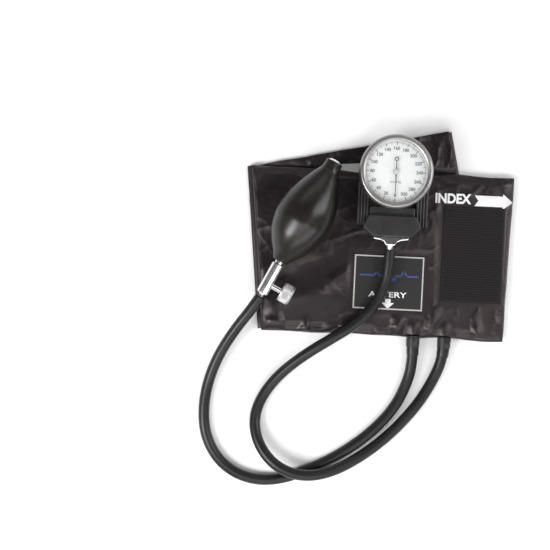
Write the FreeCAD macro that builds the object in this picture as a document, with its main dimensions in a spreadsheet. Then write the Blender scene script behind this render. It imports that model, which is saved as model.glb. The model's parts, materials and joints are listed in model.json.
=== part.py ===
"""Aneroid blood pressure cuff: folded cuff, dial gauge, bulb with release valve, and two hoses.

Frame, in millimetres: +Z is up, X runs along the cuff towards its index end, and Y runs across it.
The origin is on the underside of the folded end, which is the face that the cuff rests on.
"""
import FreeCAD, Part
import math
import os
import Sketcher

Vector = FreeCAD.Vector
UP = Vector(0, 0, 1)

# Every driving size, in millimetres or degrees. The sheet's cells take these names.
SIZES = {
    # cuff
    "strip_width": 140.0,
    "panel_x": -0.1,
    "panel_y": -14.2,
    "panel_tilt": -2.8,
    "panel_half": 109.8,
    "fold_skew": 6.35,
    "tail_tilt": 9.9,
    "tail_length": 185.4,
    "end_length": 130.0,
    "fold_gap": 1.5,
    "loop_patch_thick": 0.8,
    "sheet_thick": 0.6,
    "layer_gap": 0.3,
    "panel_bottom": 5.0,
    "panel_top": 11.8,
    "cover_thick": 0.8,
    "hem_width": 5.0,
    "bladder_length": 198.0,
    "bladder_width": 122.0,
    "bladder_thick": 4.8,
    "bladder_wall": 1.2,
    "hook_x": 78.6,
    "hook_y": 2.1,
    "hook_length": 52.7,
    "hook_width": 82.6,
    "hook_thick": 1.4,
    "label_x": 7.4,
    "label_y": -25.4,
    "label_length": 61.0,
    "label_width": 47.5,
    "label_thick": 0.6,
    "port_left": 31.4,
    "port_right": 58.3,
    "port_height": 8.3,
    "neck_radius": 5.75,
    "neck_length": 9.0,
    "spigot_radius": 2.4,
    # hoses
    "hose_diameter": 9.5,
    # gauge
    "gauge_x": 9.3,
    "gauge_y": 53.2,
    "bezel_radius": 31.0,
    "window_radius": 26.2,
    "case_radius": 28.5,
    "case_wall": 1.2,
    "case_bottom": 22.0,
    "case_top": 46.8,
    "bezel_bottom": 42.6,
    "bezel_top": 50.6,
    "lens_thick": 1.5,
    "lens_bottom": 48.0,
    "dial_radius": 26.8,
    "dial_bottom": 43.0,
    "dial_thick": 0.8,
    "pointer_bottom": 45.4,
    "pointer_thick": 0.4,
    "pointer_length": 22.0,
    "capsule_radius": 17.0,
    "capsule_bottom": 27.0,
    "capsule_height": 5.6,
    "stud_top": 35.6,
    "base_plate_bottom": 34.6,
    "base_plate_thick": 0.8,
    "base_plate_radius": 24.0,
    "bridge_bottom": 36.9,
    "bridge_thick": 0.8,
    "top_plate_bottom": 41.8,
    "top_plate_thick": 1.2,
    "pillar_radius": 1.5,
    "pillar_x": 14.0,
    "pillar_y": 5.0,
    "pillar_back": -22.0,
    "gear_module": 0.4,
    "pinion_teeth": 10.0,
    "sector_teeth": 70.0,
    "gear_bottom": 38.4,
    "gear_thick": 1.0,
    "arbor_radius": 0.8,
    "rocker_y": -4.0,
    "rocker_height": 36.4,
    "rocker_radius": 0.4,
    # carrier
    "carrier_bottom": 17.6,
    "carrier_deck": 21.8,
    "carrier_top": 36.0,
    "carrier_half": 20.0,
    "bowl_half": 24.7,
    "bowl_end": -54.2,
    "rail_half": 30.2,
    "rail_end": -44.6,
    "rail_start": -8.0,
    "back_cover_thick": 1.8,
    "duct_height": 24.4,
    "inlet_height": 24.0,
    # bulb and valve
    "bulb_x": -87.8,
    "bulb_y": -21.4,
    "bulb_z": 33.0,
    "bulb_turn": 29.0,
    "bulb_rise": 6.0,
    "bulb_length": 92.0,
    "bulb_radius": 24.5,
    "bulb_wall": 2.6,
    "valve_radius": 5.15,
    "valve_start": -2.4,
    "valve_end": -31.0,
    "nipple_end": -35.0,
    "knob_along": -21.7,
    "knob_start": 13.0,
    "knob_length": 10.4,
    "knob_radius": 8.5,
    "stem_radius": 1.4,
    "ball_radius": 1.5,
    "ball_along": -7.3,
}

# Routes of the two hoses, from end to end, resting on the surface where the height is the radius.
BULB_HOSE_ROUTE = [
    (-104.7, -51.8, 29.3),
    (-111.8, -62.0, 27.8),
    (-126.5, -80.0, 20.5),
    (-141.0, -102.5, 10.5),
    (-150.5, -126.0, 5.0),
    (-154.5, -149.0, 4.75),
    (-153.0, -171.0, 4.75),
    (-144.5, -190.0, 4.75),
    (-130.0, -204.0, 4.75),
    (-110.0, -211.5, 4.75),
    (-88.0, -211.0, 4.75),
    (-64.0, -203.0, 4.75),
    (-37.0, -190.5, 4.75),
    (-9.0, -171.0, 4.75),
    (12.5, -148.5, 4.75),
    (24.0, -124.5, 5.2),
    (27.3, -107.5, 7.2),
    (27.5, -95.2, 8.3),
]
GAUGE_HOSE_ROUTE = [
    (6.1, -12.3, 24.0),
    (5.5, -24.0, 23.2),
    (3.0, -40.5, 21.0),
    (-5.5, -58.0, 20.0),
    (-21.0, -74.0, 20.0),
    (-42.0, -87.0, 19.5),
    (-66.5, -102.0, 14.0),
    (-87.5, -118.5, 7.5),
    (-102.0, -136.0, 4.75),
    (-110.0, -154.5, 5.5),
    (-109.0, -172.5, 9.0),
    (-100.5, -189.0, 13.5),
    (-86.5, -200.8, 17.3),
    (-67.0, -206.5, 18.2),
    (-44.0, -203.5, 14.5),
    (-18.0, -191.5, 7.0),
    (7.5, -172.5, 4.75),
    (28.5, -150.5, 4.75),
    (41.0, -132.5, 4.75),
    (48.8, -117.5, 5.6),
    (52.7, -106.8, 7.2),
    (54.2, -96.4, 8.3),
]

doc = FreeCAD.newDocument("blood_pressure_cuff")
sheet = doc.addObject("Spreadsheet::Sheet", "sizes")
for row, (name, number) in enumerate(SIZES.items(), start=1):
    sheet.set(f"A{row}", name)
    sheet.set(f"B{row}", str(number))
    sheet.setAlias(f"B{row}", name)
doc.recompute()

finished = []


def size(name):
    return float(sheet.get(name))


def bound(expression):
    """Puts the sheet's name in front of each alias of an expression."""
    words = []
    for word in expression.replace("(", "( ").replace(")", " )").split():
        words.append(f"sizes.{word}" if word in SIZES else word)
    return " ".join(words)


def keep(item, node, placement=None):
    """Gives a finished sub-part its label and place, and lists it for the export."""
    item.Label = node
    if placement is not None:
        item.Placement = placement
    finished.append(item)
    return item


def frame_of(x, y, z, degrees):
    return FreeCAD.Placement(Vector(x, y, z), FreeCAD.Rotation(UP, degrees))


PANEL = frame_of(size("panel_x"), size("panel_y"), 0, size("panel_tilt"))
FOLD_MIDDLE = PANEL.multVec(Vector(-size("panel_half"), 0, 0))
TAIL = frame_of(FOLD_MIDDLE.x, FOLD_MIDDLE.y, 0, size("tail_tilt"))
GAUGE = frame_of(size("gauge_x"), size("gauge_y"), 0, size("panel_tilt"))


def bulb_frame():
    """Local +Z runs from the bulb's neck to its tip, and local +X points at the release knob."""
    turn = math.radians(size("bulb_turn"))
    rise = math.radians(size("bulb_rise"))
    flat = math.cos(rise)
    along = Vector(math.sin(turn) * flat, math.cos(turn) * flat, math.sin(rise))
    across = Vector(math.cos(turn), -math.sin(turn), 0)
    third = along.cross(across)
    matrix = FreeCAD.Matrix(
        across.x, third.x, along.x, size("bulb_x"),
        across.y, third.y, along.y, size("bulb_y"),
        across.z, third.z, along.z, size("bulb_z"),
        0, 0, 0, 1,
    )
    return FreeCAD.Placement(matrix)


BULB = bulb_frame()


# ---- helpers for bodies, sketches and primitives ----

def new_body(name):
    return doc.addObject("PartDesign::Body", name)


def origin_plane(body, role):
    return next(item for item in body.Origin.OriginFeatures if item.Role == role)


def outline(body, role, corners, height=None):
    """A closed sketch with straight sides, whose corners are pairs of expressions."""
    sketch = body.newObject("Sketcher::SketchObject", body.Name + "_outline")
    sketch.AttachmentSupport = [(origin_plane(body, role), "")]
    sketch.MapMode = "FlatFace"
    if height is not None:
        sketch.setExpression("AttachmentOffset.Base.z", bound(height))
    count = len(corners)
    start = [Vector(50 * math.cos(2 * math.pi * i / count), 50 * math.sin(2 * math.pi * i / count), 0)
             for i in range(count)]
    for i in range(count):
        sketch.addGeometry(Part.LineSegment(start[i], start[(i + 1) % count]))
    for i in range(count):
        sketch.addConstraint(Sketcher.Constraint("Coincident", i, 2, (i + 1) % count, 1))
    for i, (x, y) in enumerate(corners):
        for kind, expression, guess in (("DistanceX", x, start[i].x), ("DistanceY", y, start[i].y)):
            index = sketch.addConstraint(Sketcher.Constraint(kind, -1, 1, i, 1, guess))
            sketch.setExpression(f"Constraints[{index}]", bound(expression))
    return sketch


def plate(name, corners, height, thick):
    """A flat plate between a height and that height plus its thickness."""
    body = new_body(name)
    sketch = outline(body, "XY_Plane", corners, height)
    pad = body.newObject("PartDesign::Pad", name + "_pad")
    pad.Profile = sketch
    pad.setExpression("Length", bound(thick))
    return body


def turned(name, corners):
    """A solid of revolution about local Z, from (radius, height) pairs."""
    body = new_body(name)
    sketch = outline(body, "XZ_Plane", corners)
    spin = body.newObject("PartDesign::Revolution", name + "_spin")
    spin.Profile = sketch
    spin.ReferenceAxis = (sketch, ["V_Axis"])
    spin.Angle = 360
    return body


def cylinder(name, radius, height, x="0", y="0", z="0", axis=UP):
    """A cylinder from a point along an axis."""
    item = doc.addObject("Part::Cylinder", name)
    item.setExpression("Radius", bound(radius))
    item.setExpression("Height", bound(height))
    item.Placement = FreeCAD.Placement(Vector(0, 0, 0), FreeCAD.Rotation(UP, axis))
    place(item, x, y, z)
    return item


def box(name, length, width, height, x, y, z):
    item = doc.addObject("Part::Box", name)
    item.setExpression("Length", bound(length))
    item.setExpression("Width", bound(width))
    item.setExpression("Height", bound(height))
    place(item, x, y, z)
    return item


def place(item, x, y, z):
    item.setExpression("Placement.Base.x", bound(x))
    item.setExpression("Placement.Base.y", bound(y))
    item.setExpression("Placement.Base.z", bound(z))


def joined(name, pieces):
    item = doc.addObject("Part::MultiFuse", name)
    item.Shapes = pieces
    return item


def cut(name, base, tool):
    item = doc.addObject("Part::Cut", name)
    item.Base = base
    item.Tool = tool
    return item


def shape_feature(name, shape):
    item = doc.addObject("Part::Feature", name)
    item.Shape = shape
    return item


# ---- cuff: front panel ----

def strip_corners(inset):
    """The front panel: its left end is the skewed fold and its right end is the index end."""
    lean = "* tan( fold_skew )"
    half = f"( strip_width / 2 - {inset} )"
    return [
        (f"- panel_half + fold_gap + {inset} + {half} {lean}", f"- {half}"),
        (f"panel_half - {inset}", f"- {half}"),
        (f"panel_half - {inset}", half),
        (f"- panel_half + fold_gap + {inset} - {half} {lean}", half),
    ]


def make_inner_sheet_front():
    keep(plate("inner_front", strip_corners("0"), "panel_bottom", "sheet_thick"), "inner_sheet_front", PANEL)


def make_outer_sheet_front():
    """The top sheet, sewn down at its hem, so it is a shallow tray over the bladder."""
    body = plate("outer_front", strip_corners("0"), "panel_bottom + sheet_thick",
                 "panel_top - panel_bottom - sheet_thick")
    hollow = outline(body, "XY_Plane", strip_corners("hem_width"), "panel_bottom + sheet_thick")
    pocket = body.newObject("PartDesign::Pocket", "outer_front_hollow")
    pocket.Profile = hollow
    pocket.Reversed = True
    pocket.setExpression("Length", bound("panel_top - panel_bottom - sheet_thick - cover_thick"))
    ports = [cylinder(f"port_{side}", "spigot_radius + 0.1", "22", f"port_{side}",
                      "- strip_width / 2 - 8", "port_height", Vector(0, 1, 0)) for side in ("left", "right")]
    keep(cut("outer_front_cut", body, joined("port_bores", ports)), "outer_sheet_front", PANEL)


def make_bladder():
    """A flat rubber bag, open only where its two necks plug in."""
    low = "panel_bottom + sheet_thick + 0.2"
    centre = "- panel_half + fold_gap + 12"
    bag = box("bag", "bladder_length", "bladder_width", "bladder_thick",
              centre, "- bladder_width / 2", low)
    room = box("bag_room", "bladder_length - 2 * bladder_wall", "bladder_width - 2 * bladder_wall",
               "bladder_thick - 2 * bladder_wall", centre + " + bladder_wall",
               "- bladder_width / 2 + bladder_wall", low + " + bladder_wall")
    ports = [cylinder(f"bag_port_{side}", "spigot_radius", "6", f"port_{side}",
                      "- bladder_width / 2 - 1", "port_height", Vector(0, 1, 0)) for side in ("left", "right")]
    keep(cut("bag_cut", bag, joined("bag_hollow", [room] + ports)), "bladder", PANEL)


def make_neck(side):
    """The thick rubber end of the bladder's tube: a spigot through the hem, then a collar outside."""
    along = f"port_{side}"
    collar = cylinder(f"collar_{side}", "neck_radius", "neck_length", along,
                      "- strip_width / 2 - 0.5", "port_height", Vector(0, -1, 0))
    spigot = cylinder(f"spigot_{side}", "spigot_radius", "( strip_width - bladder_width ) / 2 + 2", along,
                      "- strip_width / 2 - 1", "port_height", Vector(0, 1, 0))
    bore = cylinder(f"neck_bore_{side}", "spigot_radius - 1", "20", along,
                    "- strip_width / 2 - 6", "port_height", Vector(0, 1, 0))
    keep(cut(f"neck_cut_{side}", joined(f"neck_{side}", [collar, spigot]), bore), f"bladder_neck_{side}", PANEL)


def patch_corners(kind):
    left = f"{kind}_x - {kind}_length / 2"
    right = f"{kind}_x + {kind}_length / 2"
    low = f"{kind}_y - {kind}_width / 2"
    high = f"{kind}_y + {kind}_width / 2"
    return [(left, low), (right, low), (right, high), (left, high)]


def make_patches():
    keep(plate("hook", patch_corners("hook"), "panel_top", "hook_thick"), "hook_patch", PANEL)
    keep(plate("label", patch_corners("label"), "panel_top", "label_thick"), "label_patch", PANEL)


# ---- cuff: the tail folded under the panel, and its end folded under the tail ----

TAIL_BOTTOM = "loop_patch_thick + 2 * sheet_thick + layer_gap"


def make_tail():
    """Two sheets, inner face up, from the skewed fold to the square second fold."""
    lean = "strip_width / 2 * tan( fold_skew )"
    corners = [
        (f"fold_gap - {lean}", "- strip_width / 2"),
        ("tail_length - fold_gap", "- strip_width / 2"),
        ("tail_length - fold_gap", "strip_width / 2"),
        (f"fold_gap + {lean}", "strip_width / 2"),
    ]
    keep(plate("outer_tail", corners, TAIL_BOTTOM, "sheet_thick"), "outer_sheet_tail", TAIL)
    keep(plate("inner_tail", corners, TAIL_BOTTOM + " + sheet_thick", "sheet_thick"), "inner_sheet_tail", TAIL)


def band_corners(inset, start, stop):
    """A rectangle under the tail, measured back from the second fold."""
    half = f"( strip_width / 2 - {inset} )"
    return [
        (f"tail_length - {stop}", f"- {half}"),
        (f"tail_length - {start}", f"- {half}"),
        (f"tail_length - {start}", half),
        (f"tail_length - {stop}", half),
    ]


def make_end():
    """The cuff's end: outer sheet up, inner sheet under it, and the loop patch on the surface."""
    corners = band_corners("0.5", "fold_gap", "end_length")
    keep(plate("inner_end", corners, "loop_patch_thick", "sheet_thick"), "inner_sheet_end", TAIL)
    keep(plate("outer_end", corners, "loop_patch_thick + sheet_thick", "sheet_thick"), "outer_sheet_end", TAIL)
    patch = band_corners("5", "6", "( end_length - 5 )")
    keep(plate("loop", patch, "0", "loop_patch_thick"), "loop_patch", TAIL)


# ---- gauge: dial, window and case ----

def make_case():
    bowl = turned("case", [
        ("0", "case_bottom"),
        ("case_radius", "case_bottom"),
        ("case_radius", "case_top"),
        ("case_radius - case_wall", "case_top"),
        ("case_radius - case_wall", "case_bottom + case_wall"),
        ("0", "case_bottom + case_wall"),
    ])
    inlet = cylinder("case_inlet", "1.3", "10", "0", "- case_radius - 4", "duct_height", Vector(0, 1, 0))
    keep(cut("case_cut", bowl, inlet), "gauge_case", GAUGE)


def make_window():
    keep(turned("bezel", [
        ("case_radius + 0.1", "bezel_bottom"),
        ("bezel_radius - 0.8", "bezel_bottom"),
        ("bezel_radius", "bezel_bottom + 1.2"),
        ("bezel_radius", "bezel_top - 1.6"),
        ("bezel_radius - 1.4", "bezel_top"),
        ("window_radius + 1", "bezel_top"),
        ("window_radius", "bezel_top - 0.7"),
        ("window_radius", "lens_bottom + lens_thick"),
        ("case_radius + 0.1", "lens_bottom + lens_thick"),
    ]), "gauge_bezel", GAUGE)
    keep(turned("lens", [
        ("0", "lens_bottom"), ("case_radius", "lens_bottom"), ("case_radius", "lens_bottom + lens_thick"),
        ("0", "lens_bottom + lens_thick"),
    ]), "gauge_lens", GAUGE)
    keep(turned("gasket", [
        ("window_radius + 0.6", "case_top"),
        ("case_radius", "case_top"),
        ("case_radius", "lens_bottom"),
        ("window_radius + 0.6", "lens_bottom"),
    ]), "lens_gasket", GAUGE)


def make_dial():
    disc = cylinder("dial", "dial_radius", "dial_thick", z="dial_bottom")
    holes = [cylinder("dial_hole", "arbor_radius + 0.4", "4", z="dial_bottom - 1")]
    for side in (-1, 1):
        holes.append(cylinder(f"dial_screw_hole_{side + 1}", "0.8", "4", f"{side} * 9", "4", "dial_bottom - 1"))
    keep(cut("dial_cut", disc, joined("dial_holes", holes)), "dial_plate", GAUGE)
    screws = []
    for side in (-1, 1):
        screws.append(cylinder(f"dial_head_{side + 1}", "1.4", "0.6", f"{side} * 9", "4",
                               "dial_bottom + dial_thick"))
        screws.append(cylinder(f"dial_shank_{side + 1}", "0.7", "2", f"{side} * 9", "4", "dial_bottom - 1.2"))
    keep(joined("dial_screw_pair", screws), "dial_screws", GAUGE)


def pillar_places():
    return [("pillar_x", "pillar_y"), ("- pillar_x", "pillar_y"), ("0", "pillar_back")]


def make_movement_frame():
    """Base plate, bridge and top plate on three pillars, held up from the case by three posts."""
    posts = []
    for i, degrees in enumerate((30, 150, 270)):
        offset = 12 if i == 2 else 0
        x = f"21.4 * cos( {degrees + offset} )"
        y = f"21.4 * sin( {degrees + offset} )"
        posts.append(cylinder(f"post_{i}", "1.6", "base_plate_bottom - case_bottom - case_wall", x, y,
                              "case_bottom + case_wall"))
    keep(joined("posts", posts), "movement_posts", GAUGE)

    base = cylinder("base_disc", "base_plate_radius", "base_plate_thick", z="base_plate_bottom")
    hole = cylinder("base_hole", "3", "4", z="base_plate_bottom - 1")
    ears = [box(f"ear_{side + 1}", "1.2", "3", "2", f"{side} * 9.6 - 0.6", "rocker_y - 1.5",
                "base_plate_bottom + base_plate_thick - 0.4") for side in (-1, 1)]
    drilled = cut("base_cut", base, hole)
    pivot = cylinder("rocker_bearing", "rocker_radius + 0.05", "30", "-15", "rocker_y", "rocker_height",
                     Vector(1, 0, 0))
    keep(cut("base_ears", joined("base_with_ears", [drilled] + ears), pivot), "movement_base_plate", GAUGE)

    pillars = []
    for i, (x, y) in enumerate(pillar_places()):
        height = "top_plate_bottom - base_plate_bottom - base_plate_thick"
        pillars.append(cylinder(f"pillar_{i}", "pillar_radius", height, x, y,
                                "base_plate_bottom + base_plate_thick"))
    keep(joined("pillars", pillars), "movement_pillars", GAUGE)

    bridge = plate("bridge", [
        ("- 17", "2"), ("- 3", "- 2.6"), ("3", "- 2.6"), ("17", "2"), ("17", "8"), ("- 17", "8"),
    ], "bridge_bottom", "bridge_thick")
    holes = [cylinder("bridge_pivot", "arbor_radius - 0.25", "4", z="bridge_bottom - 1")]
    for i, (x, y) in enumerate(pillar_places()[:2]):
        holes.append(cylinder(f"bridge_hole_{i}", "pillar_radius", "4", x, y, "bridge_bottom - 1"))
    keep(cut("bridge_cut", bridge, joined("bridge_holes", holes)), "movement_bridge", GAUGE)

    top = cylinder("top_disc", "base_plate_radius", "top_plate_thick", z="top_plate_bottom")
    holes = [cylinder("top_pivot", "arbor_radius + 0.05", "4", z="top_plate_bottom - 1")]
    holes.append(cylinder("top_sector_pivot", "arbor_radius + 0.05", "4", y=SECTOR_Y, z="top_plate_bottom - 1"))
    for side in (-1, 1):
        holes.append(cylinder(f"top_screw_hole_{side + 1}", "0.7", "6", f"{side} * 9", "4", "top_plate_bottom - 1"))
    keep(cut("top_cut", top, joined("top_holes", holes)), "movement_top_plate", GAUGE)


SECTOR_Y = "- ( pinion_teeth + sector_teeth ) * gear_module / 2"


def make_capsule():
    """Two corrugated diaphragms joined at the rim, on a hollow post fed by the air duct."""
    rim = "capsule_bottom + capsule_height / 2"
    keep(turned("capsule_low", [
        ("1.1", "capsule_bottom - 1.4"),
        ("3", "capsule_bottom - 1.4"),
        ("3", "capsule_bottom"),
        ("8", "capsule_bottom + 0.5"),
        ("11", "capsule_bottom"),
        ("15", "capsule_bottom + 1"),
        ("capsule_radius", rim),
        ("capsule_radius - 2", rim),
        ("14.4", "capsule_bottom + 1.4"),
        ("11", "capsule_bottom + 0.5"),
        ("8", "capsule_bottom + 1"),
        ("1.1", "capsule_bottom + 0.5"),
    ]), "capsule_lower", GAUGE)
    keep(turned("capsule_high", [
        ("0", "capsule_bottom + capsule_height - 0.5"),
        ("8", "capsule_bottom + capsule_height - 1"),
        ("11", "capsule_bottom + capsule_height - 0.5"),
        ("14.4", "capsule_bottom + capsule_height - 1.4"),
        ("capsule_radius - 2", rim),
        ("capsule_radius", rim),
        ("15", "capsule_bottom + capsule_height - 1"),
        ("11", "capsule_bottom + capsule_height"),
        ("8", "capsule_bottom + capsule_height - 0.5"),
        ("0", "capsule_bottom + capsule_height"),
    ]), "capsule_upper", GAUGE)
    keep(turned("stud", [
        ("0", "capsule_bottom + capsule_height + 0.1"),
        ("2.4", "capsule_bottom + capsule_height + 0.1"),
        ("2.4", "capsule_bottom + capsule_height + 0.8"),
        ("1.2", "capsule_bottom + capsule_height + 0.8"),
        ("1.2", "stud_top"),
        ("0", "stud_top"),
    ]), "capsule_stud", GAUGE)
    post = cylinder("duct_post", "2.6", "capsule_bottom - 1.4 - case_bottom - case_wall",
                    z="case_bottom + case_wall")
    pipe = cylinder("duct_pipe", "1.1", "case_radius + 4", "0", "0", "duct_height", Vector(0, -1, 0))
    bore = cylinder("duct_bore", "0.6", "case_radius + 8", "0", "1.2", "duct_height", Vector(0, -1, 0))
    rise = cylinder("duct_rise", "0.5", "6", z="duct_height - 0.2")
    keep(cut("duct_cut", joined("duct", [post, pipe]), joined("duct_bores", [bore, rise])), "air_duct", GAUGE)


# ---- gauge: rocking shaft, sector gear, pinion and pointer ----

def make_rocker():
    """The stud lifts the flat arm, and the finger beyond the bridge then pushes the sector's pin."""
    rod = cylinder("rocker_rod", "rocker_radius", "20.6", "- 10.3", "rocker_y", "rocker_height", Vector(1, 0, 0))
    arm = box("rocker_arm", "2", "4.8", "0.4", "- 1", "rocker_y", "stud_top + 0.15")
    web = box("rocker_web", "2", "0.8", "0.6", "- 1", "rocker_y - 0.4", "stud_top + 0.15")
    finger = box("rocker_finger", "0.8", "0.7", "1.7", "4.8", "rocker_y - 0.35", "rocker_height")
    keep(joined("rocker", [rod, arm, web, finger]), "rocking_shaft", GAUGE)


def involute(angle):
    return math.tan(angle) - angle


def gear_teeth(teeth, module, directions, root_gap, slack):
    """Points round the teeth that point in the given directions, in degrees, as involute flanks."""
    pressure = math.radians(20)
    pitch = teeth * module / 2
    base = pitch * math.cos(pressure)
    tip = pitch + 0.8 * module
    root = pitch - root_gap * module
    half = (math.pi * module / 2 - slack) / (2 * pitch)
    radii = [max(root, base) + (tip - max(root, base)) * step / 4 for step in range(5)]
    points = []
    for direction in directions:
        middle = math.radians(direction)
        flank = [half + involute(pressure) - involute(math.acos(min(1, base / radius))) for radius in radii]
        points.append((root, middle - flank[0] - 0.01))
        points.extend((radius, middle - turn) for radius, turn in zip(radii, flank))
        points.extend((radius, middle + turn) for radius, turn in zip(reversed(radii), reversed(flank)))
        points.append((root, middle + flank[0] + 0.01))
    return [Vector(radius * math.cos(angle), radius * math.sin(angle), 0) for radius, angle in points]


def slab(points, bottom, thick):
    """A plate of the given outline, between a height and that height plus its thickness."""
    corners = [Vector(point.x, point.y, bottom) for point in points]
    face = Part.Face(Part.makePolygon(corners + corners[:1]))
    return face.extrude(Vector(0, 0, thick))


def rod(radius, bottom, top, x=0, y=0):
    return Part.makeCylinder(radius, top - bottom, Vector(x, y, bottom))


def make_gears():
    module = size("gear_module")
    bottom = size("gear_bottom")
    thick = size("gear_thick")
    pinion = int(size("pinion_teeth"))
    sector = int(size("sector_teeth"))
    apart = (pinion + sector) * module / 2
    backlash = 0.08
    root_gap = 1.15

    leaves = [-90 + (i + 0.5) * 360 / pinion for i in range(pinion)]
    wheel = slab(gear_teeth(pinion, module, leaves, root_gap, backlash), bottom - 0.1, thick + 0.2)
    radius = size("arbor_radius")
    low = size("bridge_bottom") + size("bridge_thick") + 0.1
    arbor = rod(radius, low, size("pointer_bottom") + 0.9)
    pivot = rod(radius - 0.3, size("bridge_bottom") + 0.1, low + 0.1)
    keep(shape_feature("arbor", wheel.fuse([arbor, pivot])), "pointer_arbor", GAUGE)

    pitch = 360 / sector
    directions = [90 + i * pitch for i in range(-12, 3)]
    rim = gear_teeth(sector, module, directions, root_gap, backlash)
    inner = apart - 5.5
    first = math.radians(directions[0] - pitch)
    last = math.radians(directions[-1] + pitch)
    steps = 8
    back = [last + (first - last) * i / steps for i in range(steps + 1)]
    closing = [Vector(inner * math.cos(angle), inner * math.sin(angle), 0) for angle in back]
    ring = slab(rim + closing, bottom, thick)
    arms = []
    for direction in (directions[1], directions[-2]):
        spoke = Part.makeBox(inner + 0.6, 1.4, thick, Vector(0, -0.7, bottom))
        spoke.rotate(Vector(0, 0, 0), UP, direction)
        arms.append(spoke)
    shaft = rod(radius, size("base_plate_bottom") + size("base_plate_thick") + 0.1,
                size("top_plate_bottom") + size("top_plate_thick") - 0.1)
    hub = rod(2, bottom - 0.3, bottom + thick + 0.3)
    pin = rod(0.4, bottom - 1.2, bottom + 0.2, 3.9, 11.2)
    gear = ring.fuse(arms + [shaft, hub, pin])
    pivot_frame = GAUGE * FreeCAD.Placement(Vector(0, -apart, 0), FreeCAD.Rotation())
    keep(shape_feature("sector", gear), "sector_gear", pivot_frame)


def make_hairspring():
    """A flat spiral above the gears. Its inner end stops just short of the arbor."""
    turns = 4
    start = 1.3
    growth = 1.1
    ribbon = 0.15
    count = 24 * turns
    bottom = size("gear_bottom") + size("gear_thick") + 0.9

    def spiral(offset):
        points = []
        for i in range(count + 1):
            angle = 2 * math.pi * turns * i / count
            radius = start + growth * turns * i / count + offset
            points.append(Vector(radius * math.cos(angle), radius * math.sin(angle), bottom))
        curve = Part.BSplineCurve()
        curve.interpolate(points)
        return curve.toShape(), points[0], points[-1]

    inside, inside_start, inside_end = spiral(0)
    outside, outside_start, outside_end = spiral(ribbon)
    edges = [inside, Part.makeLine(inside_end, outside_end), outside, Part.makeLine(outside_start, inside_start)]
    face = Part.Face(Part.Wire(Part.__sortEdges__(edges)))
    spring = face.extrude(Vector(0, 0, 0.7))
    keep(shape_feature("hairspring_shape", spring), "hairspring", GAUGE)


def make_pointer():
    """A long tapered needle that points at zero, a hub, and a short tail with a ring."""
    thick = size("pointer_thick")
    bottom = size("pointer_bottom")
    reach = size("pointer_length")
    tail = 10.6
    blade = slab([Vector(-0.7, 0, 0), Vector(-0.18, -reach, 0), Vector(0.18, -reach, 0), Vector(0.7, 0, 0),
                  Vector(0.4, tail - 1.2, 0), Vector(-0.4, tail - 1.2, 0)], bottom, thick)
    ring = rod(1.6, bottom, bottom + thick, 0, tail)
    eye = rod(0.9, bottom - 1, bottom + 1, 0, tail)
    hub = rod(2.1, bottom, bottom + 0.8)
    bore = rod(size("arbor_radius"), bottom - 1, bottom + 2)
    needle = blade.fuse([ring, hub]).cut(eye).cut(bore)
    keep(shape_feature("pointer_shape", needle), "pointer", GAUGE)


# ---- gauge: carrier, clip and inlet ----

def make_carrier():
    """The black moulding behind and below the dial, hollow from the back."""
    deck = plate("carrier_plate", [
        ("- carrier_half", "carrier_half"), ("- carrier_half", "- 30"), ("carrier_half", "- 30"),
        ("carrier_half", "carrier_half"),
    ], "carrier_bottom", "carrier_deck - carrier_bottom")
    bowl = plate("carrier_bowl", [
        ("- carrier_half", "- 29.2"), ("- carrier_half", "rail_end - 0.3"), ("- bowl_half", "- 46.5"),
        ("- bowl_half + 1", "- 49"), ("- 19.5", "- 52.4"), ("- 15.5", "bowl_end"), ("15.5", "bowl_end"),
        ("19.5", "- 52.4"), ("bowl_half - 1", "- 49"), ("bowl_half", "- 46.5"),
        ("carrier_half", "rail_end - 0.3"), ("carrier_half", "- 29.2"),
    ], "carrier_bottom", "carrier_top - carrier_bottom")
    room = plate("carrier_room", [
        ("- carrier_half + 2", "- 31.4"), ("- carrier_half + 2", "- 48"), ("carrier_half - 2", "- 48"),
        ("carrier_half - 2", "- 31.4"),
    ], "carrier_bottom - 1", "carrier_top - carrier_bottom - 1.4")
    duct = cylinder("carrier_duct", "1.3", "40", "0", "- 60", "duct_height", Vector(0, 1, 0))
    clear = cylinder("carrier_case_room", "case_radius + 0.2", "30", z="carrier_deck + 0.2")
    shell = joined("carrier_solid", [deck, bowl])
    keep(cut("carrier_cut", shell, joined("carrier_hollows", [room, duct, clear])), "gauge_carrier", GAUGE)
    keep(plate("carrier_lid", [
        ("- carrier_half + 1", "- 50"), ("carrier_half - 1", "- 50"), ("carrier_half - 1", "carrier_half - 2"),
        ("- carrier_half + 1", "carrier_half - 2"),
    ], "carrier_bottom - back_cover_thick", "back_cover_thick"), "carrier_back_cover", GAUGE)


def make_rail(side):
    """A ribbed grip along one side of the carrier, cleared where the round case passes."""
    name = "left" if side < 0 else "right"
    ribs = 4
    length = "rail_start - rail_end"
    width = "( rail_half - carrier_half )"
    pieces = [box(f"rail_core_{name}", width + " - 0.6", length, "11.4",
                  "carrier_half + 0.1" if side > 0 else "- rail_half + 0.5", "rail_end", "carrier_bottom")]
    for i in range(ribs):
        x = f"{side} * ( carrier_half + {width} * {(i + 0.5) / ribs} )"
        pieces.append(cylinder(f"rib_{name}_{i}", "1.05", length, x, "rail_end", "carrier_bottom + 11.4",
                               Vector(0, 1, 0)))
    room = cylinder(f"rail_room_{name}", "case_radius + 0.4", "20", z="carrier_deck")
    keep(cut(f"rail_cut_{name}", joined(f"rail_{name}", pieces), room), f"carrier_grip_{name}", GAUGE)


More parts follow.
